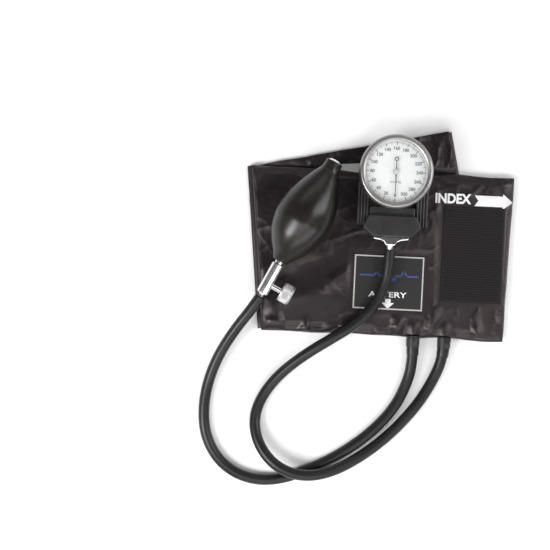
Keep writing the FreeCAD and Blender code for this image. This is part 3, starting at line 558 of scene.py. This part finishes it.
def patch_weight(p, q):
    """1 under a sewn patch, falling to 0 a little way outside it."""
    weight = 0.0
    for cx, cy, width, height in (HOOK, LABEL, (10.6, 66.8, 40.0, 22.0)):
        away = max(abs(p - cx) - width / 2, abs(q - cy) - height / 2)
        weight = max(weight, 1 - step(away, 0.5, 7))
    return weight


def panel_wrinkles(p, q):
    """Folds of the slack nylon over the front, in millimetres."""
    left = step(-p, -30, 70) * step(-q, -40, 45)
    bottom = math.exp(-(q + STRIP_HALF - 4) / 17)
    top = math.exp(-(STRIP_HALF - 4 - q) / 15)
    right = step(p, 92, 106)
    height = 2.8 * left * folds(p, q, 28, 17, 62, 1.3)
    height += 3.8 * bottom * folds(p, q, 84, 12, 44, 4.1)
    height += 0.6 * top * folds(p, q, 97, 10, 34, 7.7)
    height += 1.7 * right * folds(p, q, 12, 10, 30, 2.9)
    height += 0.8 * folds(p, q, -38, 26, 80, 5.2)
    height += 0.6 * creases(p, q, 33, 16, 46, 3.4)
    height += 0.32 * creases(p, q, -52, 14, 40, 8.6)
    height += 0.2 * creases(p, q, 80, 9, 30, 6.1)
    height += 0.12 * noise.noise((p / 4.5, q / 4.5, 2.2))
    return height


def panel_top(p, q):
    """Height of the front cloth above the table at a point of the panel."""
    left = p - panel_left(q)
    hem = min(STRIP_HALF + CLOTH_SPARE - abs(q), panel_right(q) - p)
    edge = max(min(hem, left), 0)
    sides = (STRIP_HALF + CLOTH_SPARE - abs(q), panel_right(q) - p, left + 6)
    loose = 9 * max(noise.noise((p / 15, q / 15, 6.4)), 0)
    rise = math.prod(step(side + loose, 0.0, 9.8) ** 0.8 for side in sides)
    height = 7.6 + 3.7 * rise + 0.8 * math.prod(step(side, 9, 32) for side in sides)
    height -= 0.2 * math.exp(-((hem - 5.6) / 0.9) ** 2)
    calm = max(patch_weight(p, q), 0.45 * (1 - step(edge, 0, 6)))
    wrinkles = panel_wrinkles(p, q)
    height += (wrinkles if wrinkles > 0 else 0.3 * math.tanh(wrinkles)) * (1 - calm) * (0.5 + 0.5 * rise)
    for neck in NECKS:
        over = math.exp(-((p - neck) / 5.0) ** 2) * step(-q, 54, 62)
        height += max(12.3 - height, 0) * over
    flat = patch_weight(p, q)
    height = height * (1 - flat) + (PANEL_TOP - 0.05) * flat
    start = 6.3
    return start + (height - start) * math.sqrt(1 - (1 - min(edge / 2.6, 1)) ** 2)


def closed_cloth(name, spot, top, bottom, across, down, place, body):
    """A thin closed cloth. spot(u, v) gives its outline, top and bottom its two faces."""
    corners = []
    for height in (top, bottom):
        for j in range(down + 1):
            for i in range(across + 1):
                x, y = spot(i / across, j / down)
                corners.append((x, y, height(x, y)))
    row = across + 1
    layer = row * (down + 1)
    faces = []
    for j in range(down):
        for i in range(across):
            a = j * row + i
            faces.append((a, a + 1, a + row + 1, a + row))
            faces.append((layer + a, layer + a + row, layer + a + row + 1, layer + a + 1))
    rim = [j * row for j in range(down, 0, -1)] + list(range(across))
    rim += [j * row + across for j in range(down)] + [down * row + i for i in range(across, 0, -1)]
    for a, b in zip(rim, rim[1:] + rim[:1]):
        faces.append((a, layer + a, layer + b, b))
    return outward(new_piece(name, corners, faces, body, "nylon", place=place))


def stitches(name, lines, height, place, body, pitch=3.3, length=2.3, thread=0.27):
    """Short thread stitches along lines on a surface."""
    corners = []
    faces = []
    sides = 6
    rings = ((-1, 0.0), (-0.72, 0.75), (0, 1.0), (0.72, 0.75), (1, 0.0))
    for line in lines:
        for start, end in zip(line, line[1:]):
            run = Vector(end) - Vector(start)
            count = max(1, int(run.length / pitch))
            along = run.normalized()
            for i in range(count):
                centre = Vector(start) + run * ((i + 0.5) / count)
                first = len(corners)
                for t, share in rings:
                    spot = centre + along * (t * length / 2)
                    rest = height(spot.x, spot.y) + thread * 0.35 - 0.18 * t * t
                    for k in range(sides):
                        turn = 2 * math.pi * k / sides
                        side = math.cos(turn) * share * thread
                        corners.append((spot.x - along.y * side, spot.y + along.x * side,
                                        rest + math.sin(turn) * share * thread))
                for ring in range(len(rings) - 1):
                    for k in range(sides):
                        a = first + ring * sides + k
                        b = first + ring * sides + (k + 1) % sides
                        faces.append((a, b, b + sides, a + sides))
    return new_piece(name, corners, faces, body, "nylon", "thread", place)


def make_front():
    """The padded front of the cuff, over the bladder."""
    def spot(u, v):
        q = -STRIP_HALF + 2 * STRIP_HALF * v
        left = panel_left(q)
        p = left + (PANEL_HALF - left) * u
        p += (panel_right(q) - PANEL_HALF + 1.2 * noise.noise((0.3, q / 21, 1.1))) * step(u, 0.86, 1.0)
        spare = CLOTH_SPARE * (2 * v - 1) + 1.5 * noise.noise((p / 27, 3.1, 4.4))
        q += spare * step(abs(2 * v - 1), 0.8, 1.0)
        return p, q

    def under(p, q):
        edge = min(STRIP_HALF - abs(q), PANEL_HALF - p, p - panel_left(q))
        return PANEL_BOTTOM + 0.6 * (1 - min(max(edge / 2.0, 0), 1)) ** 2

    front = closed_cloth("front_cloth", spot, panel_top, under, 256, 164, PANEL, "root")
    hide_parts("outer_sheet_front", "inner_sheet_front")
    right = panel_right(0) - SEAM_INSET - 1.5
    high = STRIP_HALF + CLOTH_SPARE - SEAM_INSET
    lines = [[(panel_left(-high) + 3, -high), (right, -high)], [(right, -high), (right, high)],
             [(panel_left(high) + 3, high), (right, high)]]
    inner = [[(HOOK[0] + HOOK[2] / 2 + 2.4, -high), (HOOK[0] + HOOK[2] / 2 + 2.4, high)]]
    seams = [stitches("front_stitches", lines, panel_top, PANEL, "root"),
             stitches("strip_stitches", inner, panel_top, PANEL, "root")]
    return front, seams


def band(name, path, thickness, low, high, columns, place, body, slot, shear=0.0, ripple=None):
    """A strip following a path in local X and Z, from low to high along local Y."""
    line = smoothed(path)
    corners = []
    for sign in (1, -1):
        for n, (x, z) in enumerate(line):
            before = line[max(n - 1, 0)]
            after = line[min(n + 1, len(line) - 1)]
            along = Vector((after[0] - before[0], after[1] - before[1])).normalized()
            for i in range(columns + 1):
                y = low + (high - low) * i / columns
                lift = thickness / 2 + (ripple(n, y) if ripple else 0.0)
                corners.append((x + along.y * lift * sign + y * shear, y, z - along.x * lift * sign))
    row = columns + 1
    layer = row * len(line)
    faces = []
    for n in range(len(line) - 1):
        for i in range(columns):
            a = n * row + i
            faces.append((a, a + 1, a + row + 1, a + row))
            faces.append((layer + a, layer + a + row, layer + a + row + 1, layer + a + 1))
    rim = [n * row for n in range(len(line) - 1, 0, -1)] + list(range(columns))
    rim += [n * row + columns for n in range(len(line) - 1)]
    rim += [(len(line) - 1) * row + i for i in range(columns, 0, -1)]
    for a, b in zip(rim, rim[1:] + rim[:1]):
        faces.append((a, layer + a, layer + b, b))
    return outward(new_piece(name, corners, faces, body, slot, place=place))


def loosen(piece):
    """Takes a wrap off its body and bakes its place into its mesh."""
    matrix = piece.matrix_world.copy()
    piece.parent = None
    piece.matrix_world = matrix
    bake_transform(piece)


def tail_slack(a, b):
    """How free the tail cloth is to lift: 1 clear of the front panel, 0 under it."""
    spot = PANEL.inverted() @ (TAIL @ Vector((a, b, 0)))
    over = max(spot.y - STRIP_HALF, -STRIP_HALF - spot.y)
    return step(over, 1.0, 8.0)


def tail_edge(a, b):
    return min(STRIP_HALF - abs(b), TAIL_LENGTH - FOLD_GAP - a)


def tail_top(a, b):
    edge = tail_edge(a, b)
    free = tail_slack(a, b)
    height = 3.5 + free * (1.2 + 1.6 * step(edge, 0, 22))
    height += free * (1.3 * folds(a, b, 84, 13, 55, 3.3) + 0.5 * folds(a, b, 20, 16, 50, 6.6))
    height += free * (0.5 * creases(a, b, 70, 11, 34, 1.9) + 0.3 * creases(a, b, -30, 9, 28, 9.2))
    height -= 0.25 * free * math.exp(-((edge - 4.7) / 0.8) ** 2)
    height += 0.1 * noise.noise((a / 3.5, b / 3.5, 7.2))
    return max(height, 3.2 + 0.3 * min(edge, 1))


def tail_under(a, b):
    return 2.3 + 0.15 * abs(folds(a, b, 60, 12, 30, 4.8))


def make_tail():
    """The doubled cloth behind the front panel, its end flap, and the two folds."""
    skew = math.tan(math.radians(FOLD_SKEW))

    def spot(u, v):
        b = -STRIP_HALF + 2 * STRIP_HALF * v
        left = FOLD_GAP + b * skew
        a = left + (TAIL_LENGTH - FOLD_GAP - left) * u
        return a, b + 0.8 * noise.noise((a / 23, 8.1, 2.4)) * abs(2 * v - 1) ** 8

    tail = closed_cloth("tail_cloth", spot, tail_top, tail_under, 190, 144, TAIL, "tail")
    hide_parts("outer_sheet_tail", "inner_sheet_tail")
    high = STRIP_HALF - SEAM_INSET
    right = TAIL_LENGTH - 5.5
    seam = stitches("tail_stitches", [[(4, -high), (right, -high)], [(12, high), (right, high)],
                                      [(right, -high), (right, high)]], tail_top, TAIL, "tail")
    start = TAIL_LENGTH - END_LENGTH

    def end_spot(u, v):
        return start + (END_LENGTH - FOLD_GAP) * u, -69.5 + 139 * v

    end = closed_cloth("end_cloth", end_spot, lambda a, b: 2.0 + 0.05 * folds(a, b, 50, 9, 20, 1.0),
                       lambda a, b: 0.8, 90, 90, TAIL, "end")
    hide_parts("inner_sheet_end", "outer_sheet_end")
    path = [(6.0, 6.2), (2.4, 6.2), (-0.7, 5.6), (-1.5, 4.3), (-0.7, 3.1), (2.4, 2.7), (6.0, 2.7)]
    wrap = band("front_fold", path, 0.7, -70.3, 70.3, 90, TAIL, "root", "nylon", skew,
                lambda n, y: 0.12 * noise.noise((n / 6, y / 9, 1.0)))
    loosen(wrap)
    path = [(181.0, 3.1), (184.2, 3.05), (185.9, 2.75), (186.4, 2.15), (185.9, 1.55), (184.2, 1.2),
            (181.0, 1.2)]
    turn = band("end_fold", path, 0.6, -69.2, 69.2, 90, TAIL, "tail", "nylon", 0.0,
                lambda n, y: 0.1 * noise.noise((n / 6, y / 9, 5.0)))
    loosen(turn)
    return tail, end


def relief(name, centre, size, low, high, rise, counts, place, body, slot):
    """A flat patch whose top carries a fine relief of height rise(x, y)."""
    cx, cy = centre
    width, height = size

    def spot(u, v):
        return cx + (u - 0.5) * width, cy + (v - 0.5) * height

    def top(x, y):
        edge = min(width / 2 - abs(x - cx), height / 2 - abs(y - cy))
        return low + (high - low + rise(x, y)) * (0.45 + 0.55 * step(edge, -0.01, 1.0))

    piece = closed_cloth(name, spot, top, lambda x, y: low, *counts, place, body)
    piece.data.materials.clear()
    piece.data.materials.append(MATERIALS[slot])
    return piece


def make_patches():
    """The hook patch with its ribs, the loop patch below the end flap, and the strap."""
    def ribs(x, y):
        edge = min(HOOK[2] / 2 - abs(x - HOOK[0]), HOOK[3] / 2 - abs(y - HOOK[1]))
        wave = math.sin(2 * math.pi * y / 2.2 + 0.5 * noise.noise((x / 9, y / 9, 0)))
        fuzz = noise.noise((x / 0.7, y / 0.45, 3))
        return (0.24 * wave + 0.13 * fuzz) * step(edge, 1.6, 2.4) - 0.2

    hook = relief("hook_patch_pile", HOOK[:2], HOOK[2:], 11.7, 13.1, ribs, (120, 420), PANEL, "root",
                  "hook_tape")
    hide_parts("hook_patch")
    x0, x1 = HOOK[0] - HOOK[2] / 2 + 1.4, HOOK[0] + HOOK[2] / 2 - 1.4
    y0, y1 = HOOK[1] - HOOK[3] / 2 + 1.4, HOOK[1] + HOOK[3] / 2 - 1.4
    stitches("hook_patch_stitches", [[(x0, y0), (x1, y0)], [(x1, y0), (x1, y1)], [(x1, y1), (x0, y1)],
                                     [(x0, y1), (x0, y0)]], lambda x, y: 12.95, PANEL, "root")
    middle = TAIL_LENGTH - 65.5
    loop = relief("loop_patch_pile", (middle, 0), (119.0, 129.0), 0.8, 0.35,
                  lambda x, y: 0.3 * noise.noise((x / 1.3, y / 1.3, 4)), (140, 150), TAIL, "end", "loop_tape")
    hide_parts("loop_patch")
    path = [(-24.4, 12.2), (-19.5, 12.2), (-18.2, 12.6), (-17.2, 13.5), (-15, 13.65), (0, 13.65),
            (15, 13.65), (17.2, 13.5), (18.2, 12.6), (19.5, 12.2), (24.4, 12.2)]
    strap = band("gauge_strap_webbing", path, 0.75, -8, 12, 60, GAUGE, "root", "webbing", 0.0,
                 lambda n, y: 0.05 * math.sin(2 * math.pi * y / 1.3))
    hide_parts("gauge_strap")


# ---- print ----

def lettering(name, text, size, centre, turn, place, body, material, lift, squeeze=1.0, bold=0.0):
    """Printed letters following a surface. lift(x, y) is the height of the ink."""
    data = bpy.data.curves.new(name, "FONT")
    data.body = text
    data.align_x = "CENTER"
    data.align_y = "CENTER"
    data.size = size
    data.offset = bold
    data.resolution_u = 5
    letters = bpy.data.objects.new(name + "_outline", data)
    bpy.context.scene.collection.objects.link(letters)
    mesh = bpy.data.meshes.new_from_object(letters.evaluated_get(bpy.context.evaluated_depsgraph_get()))
    bpy.data.objects.remove(letters)
    middle = [(min(c) + max(c)) / 2 for c in zip(*(vertex.co for vertex in mesh.vertices))]
    shift = Matrix.Translation((*centre, 0)) @ Matrix.Rotation(math.radians(turn), 4, "Z")
    shape = shift @ Matrix.Diagonal((squeeze, 1, 1, 1)) @ Matrix.Translation((-middle[0], -middle[1], 0))
    mesh.transform(shape)
    return printed(name, mesh, place, body, material, lift)


def printed(name, mesh, place, body, material, lift, reach=1.6):
    """Lays a flat mesh on a surface, cut fine enough to follow it."""
    shell = bmesh.new()
    shell.from_mesh(mesh)
    bmesh.ops.triangulate(shell, faces=shell.faces)
    for _ in range(5):
        long = [edge for edge in shell.edges if edge.calc_length() > reach]
        if not long:
            break
        bmesh.ops.subdivide_edges(shell, edges=long, cuts=1)
        bmesh.ops.triangulate(shell, faces=shell.faces)
    for vertex in shell.verts:
        vertex.co.z = lift(vertex.co.x, vertex.co.y)
    corners = [tuple(vertex.co) for vertex in shell.verts]
    shell.verts.index_update()
    faces = [tuple(vertex.index for vertex in face.verts) for face in shell.faces]
    faces = [face if normal_up(corners, face) else tuple(reversed(face)) for face in faces]
    shell.free()
    return new_piece(name, corners, faces, body, "label", material, place)


def normal_up(corners, face):
    a, b, c = (Vector(corners[i]) for i in face[:3])
    return (b - a).cross(c - a).z > 0


def flat_shape(name, outlines, place, body, material, lift, reach=1.6):
    """Printed areas given by their outlines."""
    mesh = bpy.data.meshes.new(name)
    corners = []
    faces = []
    for outline in outlines:
        faces.append(tuple(range(len(corners), len(corners) + len(outline))))
        corners += [(x, y, 0) for x, y in outline]
    mesh.from_pydata(corners, [], faces)
    return printed(name, mesh, place, body, material, lift, reach)


def stroke(points, centre, half_width):
    """Outlines of the straight parts of a line, each a little longer than its part."""
    cx, cy = centre
    outlines = []
    for (x0, y0), (x1, y1) in zip(points, points[1:]):
        run = Vector((x1 - x0, y1 - y0)).normalized() * half_width
        back_x = cx + x0 - run.x * 0.3
        front_x = cx + x1 + run.x * 0.3
        outlines.append([
            (back_x + run.y, cy + y0 - run.x),
            (front_x + run.y, cy + y1 - run.x),
            (front_x - run.y, cy + y1 + run.x),
            (back_x - run.y, cy + y0 + run.x),
        ])
    return outlines


def make_prints():
    """The label and the markings printed on the nylon."""
    cx, cy, width, height = LABEL
    weave = relief("label_patch_ground", (cx, cy), (width, height), 11.7, 12.4,
                   lambda x, y: 0.02 * math.sin(x * 8) * math.sin(y * 8), (150, 120), PANEL, "root", "label")
    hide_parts("label_patch")

    def on_label(x, y):
        return LABEL_INK

    def frame_of(w, h, line):
        a, b = w / 2, h / 2
        c, d = a - line, b - line
        return [[(cx - a, cy - b), (cx + a, cy - b), (cx + a, cy - d), (cx - a, cy - d)],
                [(cx - a, cy + d), (cx + a, cy + d), (cx + a, cy + b), (cx - a, cy + b)],
                [(cx - a, cy - d), (cx - c, cy - d), (cx - c, cy + d), (cx - a, cy + d)],
                [(cx + c, cy - d), (cx + a, cy - d), (cx + a, cy + d), (cx + c, cy + d)]]

    flat_shape("label_border", frame_of(width - 1.0, height - 1.0, 1.15), PANEL, "root", "ink_grey", on_label)
    pulse = [(-25, 0), (-13, 0), (-10.5, 3), (-8, 0), (-5, 0), (-3, -3.4), (0.5, 10), (4, -6.4), (6, 0),
             (10, 0), (13, 4), (16, 0), (25, 0)]
    line = stroke(pulse, (cx, cy + 6), 0.75)
    flat_shape("label_pulse_line", line, PANEL, "root", "ink_blue", lambda x, y: PULSE_INK)
    lettering("label_artery", "ARTERY", 6.6, (cx - 0.3, cy - 10.2), 0, PANEL, "root", "ink_white",
              on_label, 1.38, 0.1)
    tip = (cx + 0.2, cy - 22.3)
    flat_shape("label_arrow", [[(tip[0], tip[1]), (tip[0] + 5.5, tip[1] + 5), (tip[0] - 5.5, tip[1] + 5)],
                               [(tip[0] - 2.4, tip[1] + 4.9), (tip[0] + 2.4, tip[1] + 4.9),
                                (tip[0] + 2.4, tip[1] + 8.4), (tip[0] - 2.4, tip[1] + 8.4)]],
               PANEL, "root", "ink_white", on_label)

    def on_cloth(x, y):
        return panel_top(x, y) + CLOTH_INK_LIFT

    spot = PANEL.inverted() @ Vector((62.1, 32.6, 0))
    lettering("index_word", "INDEX", 11.4, (spot.x, spot.y + 0.3), 0.5, PANEL, "root", "ink_white",
              on_cloth, 0.9, 0.42)
    tail = PANEL.inverted() @ Vector((80.5, 31.0, 0))
    x, y = tail.x, tail.y
    length = panel_right(y) - 0.4 - x
    neck = length - 9.4
    shaft = [(x, y + 4.6), (x + 3.2, y), (x, y - 4.6), (x + neck, y - 4.6), (x + neck, y + 4.6)]
    head = [(x + neck, y - 6.6), (x + length, y), (x + neck, y + 6.6)]
    flat_shape("index_arrow", [shaft, head], PANEL, "root", "ink_white", on_cloth)


# ---- gauge ----

def make_gauge():
    """The bezel and the printed scale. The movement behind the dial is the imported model's own."""
    ring = rounded([
        (28.8, 42.6), (30.2, 42.6), (31.0, 43.6), (31.0, 48.2), (29.6, 50.5), (27.5, 50.6), (26.2, 49.9),
        (26.2, 49.55), (28.8, 49.55),
    ], 0.9, 4)
    bezel = lathe("bezel_ring", ring, GAUGE, "root", "satin_metal", 160, closed=True)
    sharpen(bezel, 50)
    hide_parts("gauge_bezel")
    marks = []
    for value in range(0, 301, 2):
        angle = math.radians(value * DEGREES_PER_UNIT)
        outward_way = Vector((-math.sin(angle), -math.cos(angle)))
        side = Vector((-outward_way.y, outward_way.x))
        inner, half = (24.0, 0.13)
        if value % 10 == 0:
            inner, half = (23.1, 0.24)
        if value % 20 == 0:
            inner, half = (22.5, 0.36)
        a, b = outward_way * inner, outward_way * 25.5
        shift = side * half
        marks.append([tuple(a - shift), tuple(b - shift), tuple(b + shift), tuple(a + shift)])
    flat_shape("dial_marks", marks, GAUGE, "root", "ink_black", lambda x, y: DIAL_INK, 9)
    for value in range(0, 301, 20):
        angle = math.radians(value * DEGREES_PER_UNIT)
        spot = (-math.sin(angle) * 19.8, -math.cos(angle) * 19.8)
        lettering(f"dial_number_{value}", str(value), 3.8, spot, 0, GAUGE, "root", "ink_black",
                  lambda x, y: DIAL_INK, 1.0, 0.16)
    lettering("dial_unit", "mmHg", 2.9, (0, -8.7), 0, GAUGE, "root", "ink_black",
              lambda x, y: DIAL_INK, 1.2, 0.02)
    hub = rounded([(0, 47.0), (1.5, 47.0), (2.0, 46.7), (2.0, 46.1), (0, 46.1)], 0.2)
    cap = lathe("pointer_cap", hub, GAUGE, "pointer", "brass", 48, material="steel")
    blade = [(-0.62, 1.5), (-0.62, 0), (-0.28, -22), (0.28, -22), (0.62, 0), (0.62, 1.5), (0.4, 9.2),
             (-0.4, 9.2)]
    needle = prism("pointer_needle", blade, 45.5, 46.1, GAUGE, "pointer", "needle", bevel=0.08)
    eye = rounded([(1.0, 45.5), (1.9, 45.5), (1.9, 46.1), (1.0, 46.1)], 0.1)
    eye_place = GAUGE @ Matrix.Translation((0, 10.6, 0))
    ring = lathe("pointer_eye", eye, eye_place, "pointer", "needle", 48, closed=True)
    plate = rounded([(0, 45.4), (2.3, 45.4), (2.3, 46.15), (0, 46.15)], 0.15)
    disc = lathe("pointer_hub", plate, GAUGE, "pointer", "needle", 48)
    for piece in (needle, ring, disc):
        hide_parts("pointer")
    return bezel, cap


def make_carrier():
    """The black housing that holds the case, stepped down just below the bezel."""
    bottom = 17.6
    shapes = [
        ([(-20, 20), (-20, -30), (20, -30), (20, 20)], 21.8),
        ([(-19.4, -28.8), (-19.4, -38), (19.4, -38), (19.4, -28.8)], 31.0),
        ([(-20, -36.2), (-24.2, -44.5), (-24.0, -47.2), (-15.9, -54.2), (15.9, -54.2), (24.0, -47.2),
          (24.2, -44.5), (20, -36.2)], 36.0),
    ]
    for number, (outline, top) in enumerate(shapes):
        name = f"carrier_block_{number + 1}"
        piece = prism(name, outline, bottom, top, GAUGE, "root", "moulded_black", bevel=1.1)
        piece.modifiers[0].segments = 4
        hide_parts("gauge_carrier")


def make_inlet():
    """The winged chrome fitting that takes the gauge's hose."""
    wings = [(-15, -54.3), (-15, -56.2), (-9, -57.0), (-5.6, -58.6), (-3.9, -61.4),
             (3.9, -61.4), (5.6, -58.6), (9, -57.0), (15, -56.2), (15, -54.3)]
    bar = prism("inlet_wings", wings, 19.0, 29.3, GAUGE, "root", "chrome", bevel=0.85)
    bar.modifiers[0].segments = 4
    spot = GAUGE @ Vector((0, -54.6, 24))
    along = (GAUGE @ Vector((0, -1, 0))) - (GAUGE @ Vector((0, 0, 0)))
    profile = rounded([(0, 0), (5.0, 0), (4.9, 2.8), (4.3, 4.4), (3.4, 6.6), (2.6, 9.0), (2.1, 11.0),
                       (0, 11.0)], 0.6)
    cone = lathe("inlet_cone", profile, axis_frame(spot, along, (0, 0, 1)), "root", "chrome", 96)
    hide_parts("inlet_fitting")
    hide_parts("inlet_fitting")


# ---- bulb and valve ----

BULB_PROFILE = [(0, 0.27), (0.06, 0.40), (0.15, 0.64), (0.26, 0.86), (0.38, 0.98), (0.46, 1.0), (0.58, 0.94),
                (0.72, 0.76), (0.86, 0.51), (0.95, 0.33), (1.0, 0.27)]
BULB_LENGTH = 92.0
BULB_RADIUS = 24.5
TIP_START = 87.6


def bulb_relief(angle, height):
    """The mould's parting line and the small dimple near the tip, added to the radius."""
    seam = min(abs(math.remainder(angle, math.pi)), math.pi)
    line = 0.22 * math.exp(-(seam / 0.018) ** 2) * step(height, 2, 10) * (1 - step(height, 84, 91))
    around = math.remainder(angle + math.pi / 2 + 0.1, 2 * math.pi) * 12
    dimple = -0.7 * math.exp(-((height - 87.5) / 2.6) ** 2 - (around / 2.8) ** 2)
    return line + dimple


def make_bulb():
    shape = smoothed([(share * BULB_RADIUS, along * BULB_LENGTH) for along, share in BULB_PROFILE], 14)
    shape = [(5.6, 0.0), (6.2, 0.0)] + [point for point in shape[1:] if point[1] < TIP_START]
    shape += rounded([(7.6, 89.5), (7.3, 92.0), (7.2, 95.4), (5.4, 95.6), (5.2, 91.0)], 0.9)
    bulb = lathe("bulb_skin", shape, BULB, "root", "bulb_rubber", 320, bulb_relief)
    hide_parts("bulb_shell")

    def knurl(angle, height):
        deep = step(height, 14.2, 15.0) * (1 - step(height, 20.6, 21.4))
        return -0.34 * deep * (0.5 + 0.5 * math.cos(44 * angle)) ** 0.7

    side = [(1.6, 13.0), (7.2, 13.0), (8.1, 13.3), (8.5, 14.1)]
    side += [(8.5, 14.1 + 0.35 * i) for i in range(1, 22)]
    side += [(8.1, 22.2), (7.0, 23.3), (5.6, 23.4), (5.3, 23.1), (0, 23.0)]
    knob = lathe("knob_shell", side, KNOB, "knob", "satin_metal", 352, knurl, "knob_metal")
    sharpen(knob, 40)
    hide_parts("release_knob")
    return bulb, knob


def finish_hoses():
    """Collars over the hose ends, where they meet the bladder necks."""
    for name, route, end in (("bulb_hose", BULB_HOSE_ROUTE, -1), ("gauge_hose", GAUGE_HOSE_ROUTE, -1)):
        tip = Vector(route[end])
        back = Vector(route[end - 1])
        along = (tip - back).normalized()
        across = along.cross(Vector((0, 0, 1))).normalized()
        profile = rounded([(4.7, -8.0), (5.1, -7.4), (5.3, -4.0), (5.3, 8.6), (4.6, 9.2)], 0.5)
        lathe(f"{name}_collar", profile, axis_frame(tip, along, across), "root", "hose_rubber", 64)


def dress_hard_parts():
    """Fine edge rounding on the flat-sided plastic and metal parts."""
    widths = {"carrier_grip_left": 0.35, "carrier_grip_right": 0.35, "hanging_clip": 0.25,
              "carrier_back_cover": 0.3}
    for node, width in widths.items():
        bevelled(frame["nodes"][node], width)


# ---- floor and light ----

def make_studio():
    """A pale floor inside a low round wall, five soft lights and a faint even glow."""
    mesh = bpy.data.meshes.new("floor")
    mesh.from_pydata([(-3, -3, 0), (3, -3, 0), (3, 3, 0), (-3, 3, 0)], [], [(0, 1, 2, 3)])
    nodes = Nodes("floor_paper")
    nodes.roughness(nodes.noise(3, 1), 0.85, 0.95)
    nodes.set(Base_Color=(0.93, 0.93, 0.93, 1), Specular_IOR_Level=0.1)
    mesh.materials.append(nodes.material)
    floor = bpy.data.objects.new("floor", mesh)
    bpy.context.scene.collection.objects.link(floor)
    wall_mesh = bpy.data.meshes.new("wall")
    sides = 48
    radius = 2.9
    turns = [2 * math.pi * i / sides for i in range(sides)]
    ring = [(math.cos(turn) * radius, math.sin(turn) * radius) for turn in turns]
    wall_mesh.from_pydata([(x, y, 0) for x, y in ring] + [(x, y, 1.7) for x, y in ring], [],
                          [(i, (i + 1) % sides, sides + (i + 1) % sides, sides + i) for i in range(sides)])
    wall_mesh.materials.append(nodes.material)
    wall = bpy.data.objects.new("wall", wall_mesh)
    bpy.context.scene.collection.objects.link(wall)
    world = bpy.data.worlds.new("studio")
    world.use_nodes = True
    world.node_tree.nodes["Background"].inputs["Color"].default_value = (1, 1, 1, 1)
    world.node_tree.nodes["Background"].inputs["Strength"].default_value = 0.09
    bpy.context.scene.world = world
    bpy.context.scene.view_settings.view_transform = "Standard"
    lights = [
        ("key", (-0.80, -0.42, 0.85), (0.4, 0.6), 12),
        ("fill", (0.95, 0.1, 0.85), (0.5, 1.2), 9),
        ("front", (0.25, -1.05, 0.66), (1.6, 0.5), 7),
        ("top", (-0.05, -0.66, 1.2), (1.1, 0.5), 5),
        ("back", (0.0, 1.0, 0.95), (1.4, 0.4), 2.5),
    ]
    for name, spot, size, power in lights:
        data = bpy.data.lights.new(name, "AREA")
        data.shape = "RECTANGLE"
        data.size, data.size_y = size
        data.energy = power
        light = bpy.data.objects.new(name, data)
        light.location = spot
        aim = Vector((-0.02, -0.03, 0.02)) - Vector(spot)
        light.rotation_euler = aim.to_track_quat("-Z", "Y").to_euler()
        bpy.context.scene.collection.objects.link(light)


def dress_hoses():
    """Gives the hoses their rubber, because they are made before the materials."""
    for hose in hoses:
        hose.data.materials.clear()
        hose.data.materials.append(MATERIALS["hose_rubber"])


dress_nodes()
dress_hoses()
make_front()
make_tail()
make_patches()
make_prints()
make_gauge()
make_carrier()
make_inlet()
make_bulb()
finish_hoses()
dress_hard_parts()
make_studio()
